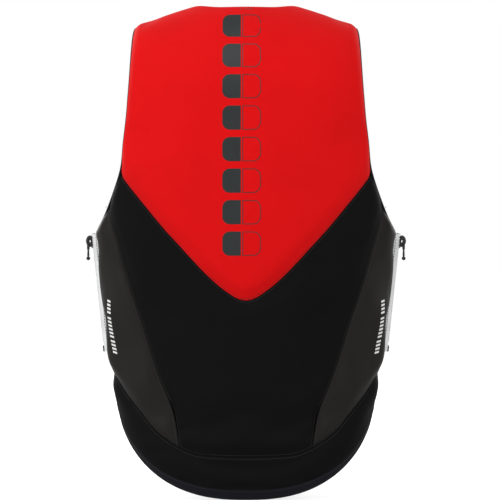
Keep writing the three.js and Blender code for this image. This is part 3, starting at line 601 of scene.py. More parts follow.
def finish_for(name, colour, roughness, **sockets):
    """A new material with one shader, and the colour and finish given."""
    material = bpy.data.materials.new(name)
    material.use_nodes = True
    shader = material.node_tree.nodes["Principled BSDF"]
    shader.inputs["Base Color"].default_value = (*colour, 1)
    shader.inputs["Roughness"].default_value = roughness
    for socket, value in sockets.items():
        shader.inputs[socket.replace("_", " ")].default_value = value
    return material, material.node_tree, shader


def mottled(tree, shader, colour, spread, scale, detail=3):
    """Uneven dye: the colour drifts a little over the cloth."""
    place = tree.nodes.new("ShaderNodeTexCoord").outputs["Object"]
    noise = tree.nodes.new("ShaderNodeTexNoise")
    noise.inputs["Scale"].default_value = scale
    noise.inputs["Detail"].default_value = detail
    tree.links.new(place, noise.inputs["Vector"])
    mix = tree.nodes.new("ShaderNodeMix")
    mix.data_type = "RGBA"
    mix.inputs["A"].default_value = (*[c * (1 - spread) for c in colour], 1)
    mix.inputs["B"].default_value = (*[c * (1 + spread) for c in colour], 1)
    tree.links.new(noise.outputs["Fac"], mix.inputs["Factor"])
    tree.links.new(mix.outputs["Result"], shader.inputs["Base Color"])
    return noise.outputs["Fac"]


def bumped(tree, shader, height, distance, strength):
    bump = tree.nodes.new("ShaderNodeBump")
    bump.inputs["Distance"].default_value = distance
    bump.inputs["Strength"].default_value = strength
    tree.links.new(height, bump.inputs["Height"])
    tree.links.new(bump.outputs["Normal"], shader.inputs["Normal"])


def dyed(name, colour, roughness, spread, scale, grit=None, **sockets):
    """A plain finish with a little drift in its colour, and a fine grit of the depth given."""
    material, tree, shader = finish_for(name, colour, roughness, **sockets)
    drift = mottled(tree, shader, colour, spread, scale)
    if grit:
        bumped(tree, shader, drift, 0.0001, grit)
    return material


def cloth_place(tree):
    """The lengths round and up the cloth, from its cloth map."""
    cloth = tree.nodes.new("ShaderNodeUVMap")
    cloth.uv_map = "cloth"
    split = tree.nodes.new("ShaderNodeSeparateXYZ")
    tree.links.new(cloth.outputs["UV"], split.inputs[0])
    return split.outputs["X"], split.outputs["Y"]


RIB_PITCH, ROW_PITCH = 0.0011, 0.0013


def jersey(name, colour, roughness=0.78, sheen=0.03, gloss=0.05):
    """Fine knitted jersey: ribs up the cloth, crossed by rows of loops, over a soft uneven face."""
    material, tree, shader = finish_for(name, colour, roughness, Sheen_Weight=sheen, Sheen_Roughness=0.45,
                                        Specular_IOR_Level=gloss)
    drift = mottled(tree, shader, colour, 0.07, 14)
    across, up = cloth_place(tree)
    ribs = calc(tree, "ABSOLUTE", calc(tree, "SINE", calc(tree, "MULTIPLY", across, math.pi / RIB_PITCH)))
    lean = calc(tree, "MULTIPLY", ribs, 1.6)
    rows = calc(tree, "SINE", calc(tree, "MULTIPLY_ADD", up, 2 * math.pi / ROW_PITCH, lean))
    loops = calc(tree, "MULTIPLY", ribs, calc(tree, "MULTIPLY_ADD", rows, 0.3, 0.7))
    bumped(tree, shader, calc(tree, "MULTIPLY_ADD", drift, 0.8, loops), 0.0002, 0.45)
    return material


RED = (0.700, 0.0050, 0.0060)
red_jersey = jersey("red_jersey", RED)


HEM_COLUMNS, HEM_END = 26, 5       # the hem panel's upper edge, and its part beyond the centre panel
SIDE_SEAM_SHARE = 9 / 11           # the centre panel's edge runs this far up its side seam
PANEL_FOOT, LINING_FOOT = 0.010, 0.006


def panel_edges(front):
    """Each panel's four edges as functions of a share, from the wearer's left to the right."""
    line = LINES[front]
    other = lambda curve: lambda s: curve(s) * MIRROR
    yoke_side = lambda s: line["armhole"](YOKE_STOP * (1 - s))

    def centre_side(s):
        below = line["side"](np.clip(1 - s / SIDE_SEAM_SHARE, 0, 1))
        beyond = np.clip((s - SIDE_SEAM_SHARE) / (1 - SIDE_SEAM_SHARE), 0, 1)
        above = line["armhole"](CENTRE_STOP + (YOKE_STOP - CENTRE_STOP) * beyond)
        return np.where((s <= SIDE_SEAM_SHARE)[:, None], below, above)

    def hem_upper(s):
        column, last = HEM_COLUMNS * s, HEM_COLUMNS - HEM_END
        left = line["hem_side"](np.clip(1 - column / HEM_END, 0, 1))
        right = line["hem_side"](np.clip((column - last) / HEM_END, 0, 1)) * MIRROR
        middle = line["hem"](np.clip((column - HEM_END) / (last - HEM_END), 0, 1))
        return np.where((column < HEM_END)[:, None], left, np.where((column > last)[:, None], right, middle))

    def hem_lower(s):
        angle = hem_upper(s)[:, 0]
        return np.stack([angle, hem_run(angle, front) + PANEL_FOOT], -1)

    def hem_rail(end):
        low, high = hem_lower(np.array([end]))[0], hem_upper(np.array([end]))[0]
        return lambda s: low + (high - low) * s[:, None]

    side = dict(
        lower=lambda s: line["hem_side"](1 - s),
        upper=lambda s: line["armhole"](1 + (CENTRE_STOP - 1) * s),
        left=lambda s: zip_edge(HEM_SEAM_END + (1 - HEM_SEAM_END) * s, front),
        right=lambda s: line["side"](1 - s))
    return dict(
        yoke=dict(
            lower=line["yoke"], upper=lambda s: top_edge(s, front), left=yoke_side, right=other(yoke_side)),
        centre=dict(lower=line["hem"], upper=line["yoke"], left=centre_side, right=other(centre_side)),
        side_left=side,
        side_right=dict(
            lower=lambda s: side["lower"](1 - s) * MIRROR, upper=lambda s: side["upper"](1 - s) * MIRROR,
            left=other(side["right"]), right=other(side["left"])),
        hem=dict(lower=hem_lower, upper=hem_upper, left=hem_rail(0.0), right=hem_rail(1.0)))


PANEL_EDGES = {front: panel_edges(front) for _, front in HALVES}
ALONG = np.linspace(0, 1, 140)
for half, front in HALVES:
    edges = PANEL_EDGES[front]["yoke"]
    crest_share = (1 - NECK_SHARE) / 2
    crest = [top_edge(ALONG * crest_share, front), top_edge(1 - ALONG * crest_share, front)]
    yoke = panel(f"{half}_yoke_pad", edges, [edges["lower"](ALONG)], front, 120, 100, red_jersey, (), crest)
    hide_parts(f"{half}_yoke", f"{half}_upper_foam")
    over_crest(yoke)

# ---- Centre panels -----------------------------------------------------------------------------
# The black middle panel of each half, below the V seam: the same jersey-faced neoprene over foam,
# drawn in at the foot of each side seam where the cloth puckers.
black_jersey = jersey("black_jersey", (0.0042, 0.0042, 0.0042), 0.70, 0.01, 0.06)
CENTRE_PUCKERS = (  # place across, height, half width, half height, depth
    (0.089, -0.497, 0.006, 0.020, 0.0034), (-0.087, -0.508, 0.005, 0.020, 0.0040),
    (0.076, -0.521, 0.012, 0.006, 0.0020), (-0.074, -0.526, 0.012, 0.006, 0.0020))
for half, front in HALVES:
    edges = PANEL_EDGES[front]["centre"]
    side = edges["left"](ALONG * SIDE_SEAM_SHARE)
    seams = [edges["lower"](ALONG), edges["upper"](ALONG), side, side * MIRROR]
    centre = panel(f"{half}_centre_pad", edges, seams, front, 110, 100, black_jersey,
                   () if front else CENTRE_PUCKERS)
    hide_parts(f"{half}_centre_panel", f"{half}_lower_foam")
    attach(centre, f"{half}_half")

# ---- Side panels -------------------------------------------------------------------------------
# Four panels that wrap round the ribs to the zips, in smooth-skinned grip neoprene over foam. Its
# skin is satin, with a fine leathery grain.
def grip_skin(name, colour):
    material, tree, shader = finish_for(name, colour, 0.42, Specular_IOR_Level=0.17)
    drift = mottled(tree, shader, colour, 0.12, 9)
    grain = tree.nodes.new("ShaderNodeTexVoronoi")
    grain.inputs["Scale"].default_value = 900
    tree.links.new(tree.nodes.new("ShaderNodeTexCoord").outputs["Object"], grain.inputs["Vector"])
    tree.links.new(calc(tree, "MULTIPLY_ADD", drift, 0.16, 0.44), shader.inputs["Roughness"])
    bumped(tree, shader, calc(tree, "MULTIPLY_ADD", drift, 2.0, grain.outputs["Distance"]), 0.00015, 0.3)
    return material


grip_black = grip_skin("grip_black", (0.0092, 0.0078, 0.0069))
for half, front in HALVES:
    for wearer_side in ("left", "right"):
        edges = PANEL_EDGES[front][f"side_{wearer_side}"]
        seams = [edges["lower"](ALONG), edges["right" if wearer_side == "left" else "left"](ALONG)]
        piece = panel(f"{half}_side_pad_{wearer_side}", edges, seams, front, 64, 90, grip_black)
        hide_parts(f"{half}_side_panel_{wearer_side}", f"{half}_side_foam_{wearer_side}")
        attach(piece, f"{half}_half")

# ---- Hem panels --------------------------------------------------------------------------------
# The long black panel across the bottom of each half, from zip to zip, in the same jersey over
# thinner foam. It waves a little where the hem tape pulls it in.
HEM_PUCKERS = (
    (0.002, -0.588, 0.030, 0.004, 0.0024), (0.062, -0.580, 0.022, 0.005, 0.0018),
    (-0.060, -0.580, 0.026, 0.005, 0.0018), (0.106, -0.548, 0.014, 0.006, 0.0018),
    (-0.110, -0.550, 0.014, 0.006, 0.0018))
for half, front in HALVES:
    edges = PANEL_EDGES[front]["hem"]
    hem = panel(f"{half}_hem_pad", edges, [edges["upper"](ALONG)], front, 150, 40, black_jersey,
                () if front else HEM_PUCKERS)
    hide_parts(f"{half}_hem_panel", f"{half}_hem_foam")
    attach(hem, f"{half}_half")

# ---- Linings -----------------------------------------------------------------------------------
# One sheet of charcoal mesh cloth inside each half, stretched from the neck and armholes to the hem,
# with small drainage holes in its weave.
def mesh_cloth(name, colour):
    material, tree, shader = finish_for(name, colour, 0.85, Sheen_Weight=0.05)
    mottled(tree, shader, colour, 0.15, 20)
    cloth = tree.nodes.new("ShaderNodeUVMap")
    cloth.uv_map = "cloth"
    holes = tree.nodes.new("ShaderNodeTexVoronoi")
    holes.inputs["Scale"].default_value = 420
    holes.inputs["Randomness"].default_value = 0.05
    tree.links.new(cloth.outputs["UV"], holes.inputs["Vector"])
    bumped(tree, shader, calc(tree, "SMOOTH_MIN", holes.outputs["Distance"], 0.5, 0.1), 0.0006, 0.6)
    return material


charcoal_mesh = mesh_cloth("charcoal_mesh", (0.018, 0.019, 0.021))
LINING_GRID, LINING_THICKNESS, LINING_WIDTH = (90, 100), 0.0018, 0.43


def lining_edges(front):
    line = LINES[front]
    foot_angle = zip_edge(2, front)[0] - 2
    foot = lambda angle: np.stack([angle, hem_run(angle, front) + LINING_FOOT], -1)
    low = foot(np.array([foot_angle]))[0]
    high = zip_edge(1, front)

    def side(s):
        below = low + (high - low) * np.clip(2 * s, 0, 1)[:, None]
        above = line["armhole"](np.clip(2 - 2 * s, 0, 1))
        return np.where((s <= 0.5)[:, None], below, above)

    return dict(
        lower=lambda s: foot(foot_angle * (1 - 2 * s)), upper=lambda s: top_edge(s, front),
        left=side, right=lambda s: side(s) * MIRROR)


for half, front in HALVES:
    even = [np.linspace(0, 1, count) for count in LINING_GRID]
    grid = relaxed(coons(lining_edges(front), *even), *even)
    angle, run = grid[..., 0], grid[..., 1]
    base, normals = laid_out(angle, run, front)
    inside = wall_faces(base, run, front)[1][..., None]
    lining = wall_piece(f"{half}_lining_cloth", base - normals * (inside - LINING_THICKNESS),
                        base - normals * inside, charcoal_mesh, cloth_map_of(grid))
    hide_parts(f"{half}_lining")
    over_crest(lining)

# ---- Neck and armhole bindings -----------------------------------------------------------------
# Strips of cloth folded round the free edges from the panel's face to the lining: red round the
# neck, navy black round the armholes.
def ribbed(name, colour, pitch, roughness=0.8):
    """Woven tape: ribs across its length, crossed by fine yarns."""
    material, tree, shader = finish_for(name, colour, roughness, Sheen_Weight=0.03, Specular_IOR_Level=0.18)
    mottled(tree, shader, colour, 0.15, 60)
    along, across = cloth_place(tree)
    ribs = calc(tree, "SINE", calc(tree, "MULTIPLY", along, 2 * math.pi / pitch))
    yarns = calc(tree, "SINE", calc(tree, "MULTIPLY", across, 2 * math.pi / (pitch * 0.8)))
    weave = calc(tree, "MULTIPLY_ADD", calc(tree, "MULTIPLY", ribs, yarns), 0.5, ribs)
    bumped(tree, shader, weave, 0.0002, 0.6)
    return material


navy_binding = ribbed("navy_binding", (0.0052, 0.0050, 0.0090), 0.0012)
red_binding = ribbed("red_binding", RED, 0.0012)


def loop_faces(stations, around):
    """Faces of a closed ring of points carried along a path, without its end caps."""
    index = np.arange(stations * around).reshape(stations, around)
    beside = np.roll(index, -1, 1)
    return np.stack([index[:-1], beside[:-1], beside[1:], index[1:]], -1).reshape(-1, 4)


TAPE_THICKNESS = 0.0009


def folded_tape(name, paths, lengths, material, node):
    """A thin strip whose folded section, an array of points for each station, runs along an edge."""
    stations, count = paths.shape[:2]
    side = unit(np.cross(np.gradient(paths, axis=0), np.gradient(paths, axis=1)))
    if ((paths - paths.mean(1, keepdims=True)) * side).sum() < 0:
        side = -side
    ring = np.concatenate([paths, (paths - side * TAPE_THICKNESS)[:, ::-1]], 1)
    width = lengths_along(paths[0])
    mapping = np.stack(np.broadcast_arrays(lengths[:, None], np.concatenate([width, width[::-1]])), -1)
    faces = [loop_faces(stations, 2 * count)]
    k, last = np.arange(count - 1), 2 * count - 1
    cap = np.stack([k, k + 1, last - 1 - k, last - k], -1)
    faces += [cap[:, ::-1], cap + (stations - 1) * 2 * count]
    piece = make_piece(name, ring, np.concatenate(faces), material, mapping, angle=55)
    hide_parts(node)
    return piece


FOLD_OUT = 0.0030                                        # how far the fold stands past the edge
MARGIN = np.array([0.0015, 0.0030, 0.0045, 0.0058])      # the binding's flat steps on the lining
FACE_MARGIN, FACE_SINK, MARGIN_SINK = 0.0012, 0.0003, 0.0004


def edge_binding(name, line, front, material, node):
    """A binding round one free edge: a rounded fold outside it and a margin on the lining."""
    base, normals = laid_out(line[:, 0], line[:, 1], front)
    out = np.cross(unit(np.gradient(base, axis=0)), normals)
    towards = surface(0, 0.0, front) - base[len(base) // 2]
    if (out[len(base) // 2] * towards).sum() > 0:
        out = -out
    fall, lining = wall_faces(base, line[:, 1], front)
    fold = np.linspace(-0.5, 0.5, 13) * np.pi
    reach = np.concatenate([[-FACE_MARGIN], FOLD_OUT * np.cos(fold), -MARGIN])
    middle, half_span = (fall + lining) / 2, (lining - fall) / 2
    depth = middle[:, None] + half_span[:, None] * np.concatenate([[-1.02], np.sin(fold), [1] * 4])
    lift, width = LINING_ROLL["round"]
    depth[:, -4:] += lift * (1 - (1 - MARGIN / width) ** 2) + MARGIN_SINK
    depth[:, 0] -= FACE_SINK
    paths = base[:, None] + out[:, None] * reach[None, :, None] - normals[:, None] * depth[..., None]
    piece = folded_tape(name, paths, lengths_along(base), material, node)
    over_crest(piece)


NECK_RUN, ARMHOLE_RUN = np.linspace(-0.9994, 0.9994, 110), np.linspace(0.0003, 0.996, 110)
for half, front in HALVES:
    edge_binding(f"{half}_neck_tape", neck_edge(NECK_RUN, front), front, red_binding, f"{half}_neck_binding")
    for wearer_side, mirror in (("left", 1), ("right", MIRROR)):
        armhole = LINES[front]["armhole"](ARMHOLE_RUN) * mirror
        edge_binding(f"{half}_armhole_tape_{wearer_side}", armhole, front, navy_binding,
                     f"{half}_armhole_binding_{wearer_side}")

# ---- Hem bindings ------------------------------------------------------------------------------
# A wide navy-black woven tape folded over the bottom edge of each half, 12 mm up its outside and
# 9 mm up the lining, sewn through near its upper edge.
HEM_TAPE, HEM_TAPE_INSIDE, HEM_FOLD, HEM_PROUD = 0.012, 0.009, 0.003, 0.0007
for half, front in HALVES:
    end = zip_edge(2, front)[0]
    angle = np.linspace(end, -end, 150)[:, None]
    fold = np.linspace(-0.5, 0.5, 11) * np.pi
    up = np.concatenate([np.linspace(HEM_TAPE, HEM_FOLD, 7)[:-1], HEM_FOLD * (1 - np.cos(fold)),
                         np.linspace(HEM_FOLD, HEM_TAPE_INSIDE, 5)[1:]])
    height = hem_run(angle, front) + up
    base, normals = laid_out(np.broadcast_to(angle, height.shape), height, front)
    fall, lining = wall_faces(base, height, front)
    middle, half_span = (fall + lining) / 2, (lining - fall) / 2 + HEM_PROUD
    depth = middle + half_span * np.concatenate([[-1] * 6, np.sin(fold), [1] * 4])
    paths = base - normals * depth[..., None]
    piece = folded_tape(f"{half}_hem_tape", paths, lengths_along(paths[:, 0]), navy_binding,
                        f"{half}_hem_binding")
    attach(piece, f"{half}_half")

# ---- Seam stitching ----------------------------------------------------------------------------
# Two rows of flat stitches along every seam between panels, and one row along the hem tape and
# round the neck, in waxed black or dark red thread pulled into the cloth.
STITCH_PITCH, STITCH_LENGTH, STITCH_WIDTH = 0.0034, 0.0027, 0.0006
black_thread = dyed("black_thread", (0.012, 0.012, 0.013), 0.45, 0.3, 300)
red_thread = dyed("red_thread", (0.33, 0.006, 0.007), 0.5, 0.2, 300)

bpy.ops.object.select_all(action="DESELECT")
bpy.ops.mesh.primitive_uv_sphere_add(segments=8, ring_count=5, radius=0.5)
one_stitch = bpy.context.object
bpy.ops.object.mode_set(mode="EDIT")
bpy.ops.transform.resize(value=(STITCH_LENGTH, STITCH_WIDTH, STITCH_WIDTH), center_override=(0, 0, 0))
bpy.ops.object.mode_set(mode="OBJECT")
STITCH_POINTS = np.array([v.co for v in one_stitch.data.vertices])
STITCH_FACES = [list(p.vertices) for p in one_stitch.data.polygons]
bpy.data.objects.remove(one_stitch)


LAY_FROM, LAY_REACH = 0.012, 0.030


def on_panels(points, normals, lift, panels):
    """Points moved along their normals onto the nearest face of the named panels, then lifted."""
    laid = np.array(points)
    for k, (point, normal) in enumerate(zip(points, normals)):
        start, way = Vector(point + normal * LAY_FROM), Vector(-normal)
        hits = [PANELS[name].ray_cast(start, way, LAY_REACH) for name in panels]
        hits = [hit for hit in hits if hit[0] is not None]
        if hits:
            laid[k] = np.array(min(hits, key=lambda hit: hit[3])[0])
    return laid + normals * lift


def stitch_rows(name, rows, thread):
    """One piece of thread: a copy of the stitch at every pitch along each row."""
    points = []
    for line, normals in rows:
        lengths = lengths_along(line)
        stops = np.arange(STITCH_PITCH / 2, lengths[-1], STITCH_PITCH)

        def at(stops, values=line):
            return np.stack([np.interp(stops, lengths, values[:, k]) for k in range(3)], -1)

        along = unit(at(stops + 0.001) - at(stops - 0.001))
        side = unit(np.cross(at(stops, normals), along))
        turns = np.stack([along, side, np.cross(along, side)], 1)
        points.append((at(stops)[:, None] + STITCH_POINTS @ turns).reshape(-1, 3))
    points = np.concatenate(points)
    starts = range(0, len(points), len(STITCH_POINTS))
    faces = [[start + i for i in face] for start in starts for face in STITCH_FACES]
    mesh = bpy.data.meshes.new(name)
    mesh.from_pydata(points.tolist(), [], faces)
    mesh.materials.append(thread)
    mesh.polygons.foreach_set("use_smooth", [True] * len(mesh.polygons))
    piece = bpy.data.objects.new(name, mesh)
    bpy.context.scene.collection.objects.link(piece)
    return piece


THREAD_LIFT = 0.00005


def beside_seam(line, front, offset, panels):
    """A row of thread beside a seam or edge, on the panels' faces."""
    base, normals = laid_out(line[:, 0], line[:, 1], front)
    row = base + np.cross(unit(np.gradient(base, axis=0)), normals) * offset
    return on_panels(row, normals, THREAD_LIFT, panels), normals


SEAM_ROW, NECK_ROW = 0.0021, 0.0045   # how far the thread runs from its seam or edge
HEM_ROW, HEM_ROW_LIFT = 0.0022, 0.0008
FINE = np.linspace(0.006, 0.994, 150)
for half, front in HALVES:
    line = LINES[front]
    names = [name for name in PANELS if name.startswith(half)]
    seams = [line["yoke"](FINE)]
    seams += [line[seam](FINE) * mirror for seam in ("side", "hem_side") for mirror in (1, MIRROR)]
    seams.append(line["hem"](FINE))
    rows = [beside_seam(seam, front, side * SEAM_ROW, names) for seam in seams for side in (-1, 1)]
    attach(stitch_rows(f"{half}_seam_stitches", rows, black_thread), f"{half}_half")
    angle = np.linspace(zip_edge(2, front)[0] - 0.5, -zip_edge(2, front)[0] + 0.5, 260)
    run = hem_run(angle, front) + HEM_TAPE - HEM_ROW
    base, normals = laid_out(angle, run, front)
    base -= normals * (wall_faces(base, run, front)[0] - HEM_ROW_LIFT)[:, None]
    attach(stitch_rows(f"{half}_hem_stitches", [(base, normals)], black_thread), f"{half}_half")
    inwards = -NECK_ROW if front else NECK_ROW
    neck_row = beside_seam(neck_edge(2 * FINE - 1, front), front, inwards, [f"{half}_yoke_pad"])
    over_crest(stitch_rows(f"{half}_neck_stitches", [neck_row], red_thread))

# ---- Printed marks -----------------------------------------------------------------------------
# Plain graphic marks in thin heat-pressed film: a column of rounded bars down the back yoke, half
# solid and half outlined, a short row of dots below the neck, and slanted dashes by each zip.
FILM, FILM_SINK = 0.00014, 0.0003   # how proud the film is, and how far its edge is let into the cloth
charcoal_film = dyed("charcoal_film", (0.0240, 0.0285, 0.0285), 0.5, 0.1, 40, Specular_IOR_Level=0.25)
white_film = dyed("white_film", (0.78, 0.78, 0.77), 0.45, 0.06, 200)
dark_red_film = dyed("dark_red_film", (0.42, 0.006, 0.007), 0.5, 0.1, 100)


def film(name, patches, material):
    """Film patches, each a grid of points laid on the cloth with its normals, as closed thin solids."""
    points, faces, count = [], [], 0
    for laid, normals in patches:
        solid = np.concatenate([laid + normals * FILM, laid - normals * FILM_SINK]).reshape(-1, 3)
        faces.append(outwards(solid - solid.mean(0), closed_faces(*laid.shape[:2])) + count)
        points.append(solid)
        count += len(solid)
    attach(plain_piece(name, np.concatenate(points), np.concatenate(faces), material), "back_half")


def laid_flat(x, z):
    """A grid of places across and up the back yoke, laid on its cloth from behind."""
    laid = np.stack([x, np.full_like(x, 0.2), z], -1)
    normals = laid.copy()
    for place in np.ndindex(x.shape):
        spot, normal, _, _ = PANELS["back_yoke_pad"].ray_cast(Vector(laid[place]), Vector((0, -1, 0)), 0.4)
        laid[place] = spot
        normals[place] = normal if normal.y > 0 else -normal
    return laid, normals


BAR_COUNT, BAR_PITCH, BAR_TOP = 8, 0.0377, -0.0180
BAR_LENGTH, BAR_HEIGHT, BAR_ROUND = 0.0222, 0.0290, 0.0090
SOLID_START, OUTLINE_START = 0.0060, 0.0042  # where the bars start, across the back
OUTLINE = 0.0009
turn = np.linspace(0, np.pi / 2, 9)
across = np.concatenate([np.linspace(0, BAR_LENGTH - BAR_ROUND, 7)[:-1],
                         BAR_LENGTH - BAR_ROUND * (1 - np.sin(turn))])
rise = np.concatenate([np.full(6, BAR_HEIGHT / 2), BAR_HEIGHT / 2 - BAR_ROUND * (1 - np.cos(turn))])
solid_z = np.linspace(-1, 1, 11)[:, None] * rise
path = np.concatenate([np.stack([across, rise], -1), np.stack([across, -rise], -1)[::-1]])
path = np.concatenate([path, np.linspace((0, -BAR_HEIGHT / 2), (0, BAR_HEIGHT / 2), 8)[1:]])
path = path[np.diff(lengths_along(path), prepend=-1) > 1e-6]
centre = np.array([BAR_LENGTH / 2, 0])
ring = np.stack([path, centre + (path - centre) * (1 - 2 * OUTLINE / np.array([BAR_LENGTH, BAR_HEIGHT]))])
solid_bars, outlined_bars = [], []
for number in range(BAR_COUNT):
    middle = BAR_TOP - BAR_HEIGHT / 2 - number * BAR_PITCH
    solid_bars.append(laid_flat(SOLID_START + np.broadcast_to(across, solid_z.shape), middle + solid_z))
    outlined_bars.append(laid_flat(OUTLINE_START - ring[..., 0], middle + ring[..., 1]))
film("back_bars_solid", solid_bars, charcoal_film)
film("back_bars_outlined", outlined_bars, charcoal_film)

DOT_GROUPS = ((0.0065, 2), (0.0010, 4), (-0.0050, 3))  # where each group starts, and its dots
DOT_PITCH, DOT_WIDTH, DOT_HEIGHT, DOT_TOP = 0.0019, 0.0012, 0.0022, -0.0088
dots = []
for start, number in DOT_GROUPS:
    for k in range(number):
        x, z = np.meshgrid(np.linspace(0, DOT_WIDTH, 3), -np.linspace(0, DOT_HEIGHT, 3))
        dots.append(laid_flat(start - k * DOT_PITCH + x, DOT_TOP + z))
film("neck_dots", dots, dark_red_film)

DASH_GROUPS = ((-0.3655, 4), (-0.3860, 6), (-0.4145, 4))  # where each group starts, and its dashes
DASH_PITCH, DASH_HEIGHT, DASH_WIDTH, DASH_SLANT = 0.0045, 0.0025, 0.003596, 0.0016
DASH_FROM_EDGE, DASH_LEAN = 0.0135, 0.02
WEARER_SIDES = (("left", 1), ("right", -1))
for wearer_side, sign in WEARER_SIDES:
    dashes = []
    for top, number in DASH_GROUPS:
        for k in range(number):
            u, v = np.meshgrid(np.linspace(-0.5, 0.5, 5), np.linspace(0, 1, 3))
            z = top - k * DASH_PITCH - v * DASH_HEIGHT + u * DASH_SLANT
            x = half_width(z) - DASH_FROM_EDGE + (z + 0.40) * DASH_LEAN + u * DASH_WIDTH
            base, normals = laid_out(sign * angle_across(x / half_width(z)), z - CREST_FOOT, False)
            laid = on_panels(base.reshape(-1, 3), normals.reshape(-1, 3), 0, [f"back_side_pad_{wearer_side}"])
            dashes.append((laid.reshape(base.shape), normals))
    film(f"side_dashes_{wearer_side}", dashes, white_film)

# ---- Zip tapes ---------------------------------------------------------------------------------
# The pale woven tapes of the side zips. Each is sewn flat on its panel's edge and rises to the
# teeth, so the zip stands up as a low ridge.
ZIP_TOP, ZIP_LENGTH = -0.283, 0.1478
ZIP_LEAN = math.atan(SIDE_TAPER)
TAPE_INNER, TAPE_OUTER, ZIP_TAPE_THICKNESS = 0.0034, 0.0158, 0.0007
TAPE_RISE, TAPE_FOOT, TAPE_RISE_GAP = 0.0013, 0.0006, 0.0030   # its height by the teeth and where it is sewn
TAPE_WAVE, TAPE_WAVE_LENGTH = 0.00025, 0.031
TAPE_ROWS, TAPE_ROW_LIFT = (0.0128, 0.0142), 0.0001
zip_tape_weave = ribbed("zip_tape_weave", (0.84, 0.85, 0.85), 0.0010)
for wearer_side, sign in WEARER_SIDES:
    for half, front in HALVES:
        down, gaps = np.meshgrid(np.linspace(0, ZIP_LENGTH, 90), np.linspace(TAPE_INNER, TAPE_OUTER, 14),
                                 indexing="ij")
        z = ZIP_TOP - down * math.cos(ZIP_LEAN)
        base, normals = laid_out(sign * angle_by_zip(gaps, z, front), z - CREST_FOOT, front)
        fall = wall_faces(base, z - CREST_FOOT, front)[0]
        sewn = np.clip((gaps - TAPE_RISE_GAP) / (TAPE_OUTER - TAPE_RISE_GAP), 0, 1)
        wave = TAPE_WAVE * np.sin(z * 2 * np.pi / TAPE_WAVE_LENGTH) * sewn
        height = (1 - sewn) * TAPE_RISE + sewn * (TAPE_FOOT - fall) + wave
        outer = base + normals * height[..., None]
        tape = wall_piece(f"{half}_zip_cloth_{wearer_side}", outer, outer - normals * ZIP_TAPE_THICKNESS,
                          zip_tape_weave, np.stack([down, gaps], -1))
        PANELS[f"zip_{half}_{wearer_side}"] = laid_on(outer)
        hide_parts(f"{half}_zip_tape_{wearer_side}")
        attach(tape, f"{half}_half")
        rows = []
        for gap in TAPE_ROWS:
            base, normals = laid_out(sign * angle_by_zip(gap, z[:, 0], front), z[:, 0] - CREST_FOOT, front)
            rows.append((on_panels(base, normals, TAPE_ROW_LIFT, [f"zip_{half}_{wearer_side}"]), normals))
        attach(stitch_rows(f"{half}_zip_stitches_{wearer_side}", rows, black_thread), f"{half}_half")

# ---- Zip teeth ---------------------------------------------------------------------------------
# Moulded plastic teeth, one every 3 mm on each tape, the two rows set half a pitch apart so their
# heads mesh. A stop ends each row at the top; the front row's foot is the pin of the open end.
TEETH_PITCH = 0.0030
teeth_plastic = dyed("teeth_plastic", (0.74, 0.75, 0.75), 0.35, 0.08, 200)


def rounded(material, bevel, segments=2):
    """The primitive just added, with its place in its mesh and its edges bevelled by millimetres."""
    bpy.ops.object.transform_apply(location=True, rotation=True, scale=True)
    bpy.ops.object.mode_set(mode="EDIT")
    bpy.ops.mesh.select_all(action="SELECT")
    bpy.ops.mesh.bevel(offset=bevel / 1000, segments=segments, affect="EDGES")
    bpy.ops.object.mode_set(mode="OBJECT")
    bpy.context.object.data.materials.append(material)
    return bpy.context.object


def block(low, high, bevel, material, segments=2):
    """A rounded block between two corners, in millimetres."""
    low, high = np.array(low) / 1000, np.array(high) / 1000
    bpy.ops.object.select_all(action="DESELECT")
    bpy.ops.mesh.primitive_cube_add(size=1, location=(low + high) / 2, scale=high - low)
    return rounded(material, bevel, segments)


def joined(name, parts):
    """The parts as one piece, shaded smooth except at its sharp edges."""
    bpy.ops.object.select_all(action="DESELECT")
    for part in parts:
        part.select_set(True)
    bpy.context.view_layer.objects.active = parts[0]
    if len(parts) > 1:
        bpy.ops.object.join()
    piece = bpy.context.object
    piece.name = piece.data.name = name
    bpy.ops.object.shade_smooth_by_angle(angle=math.radians(35))
    return piece


def at_zip(sign):
    """From the zip's own frame, x outwards and z up it, to its place on the wearer's left or right."""
    place = Matrix.Translation((sign * (CHEST - SIDE_TAPER * (ARMHOLE_FOOT - ZIP_TOP)), 0, ZIP_TOP))
    turn = Matrix.Rotation(sign * ZIP_LEAN, 4, "Y")
    return place @ turn @ Matrix.Scale(sign, 4, (1, 0, 0))


def both_sides(source, name, node, place=at_zip):
    """A copy of a piece at each zip, with its own mesh, standing for that side's CAD node."""
    for wearer_side, sign in WEARER_SIDES:
        piece = source.copy()
        piece.data = source.data.copy()
        piece.name = piece.data.name = f"{name}_{wearer_side}"
        matrix = place(sign)
        piece.data.transform(matrix)
        if matrix.is_negative:
            piece.data.flip_normals()
        bpy.context.scene.collection.objects.link(piece)
        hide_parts(f"{node}_{wearer_side}")
        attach(piece, BODY[f"{node}_{wearer_side}"])
    bpy.data.objects.remove(source)


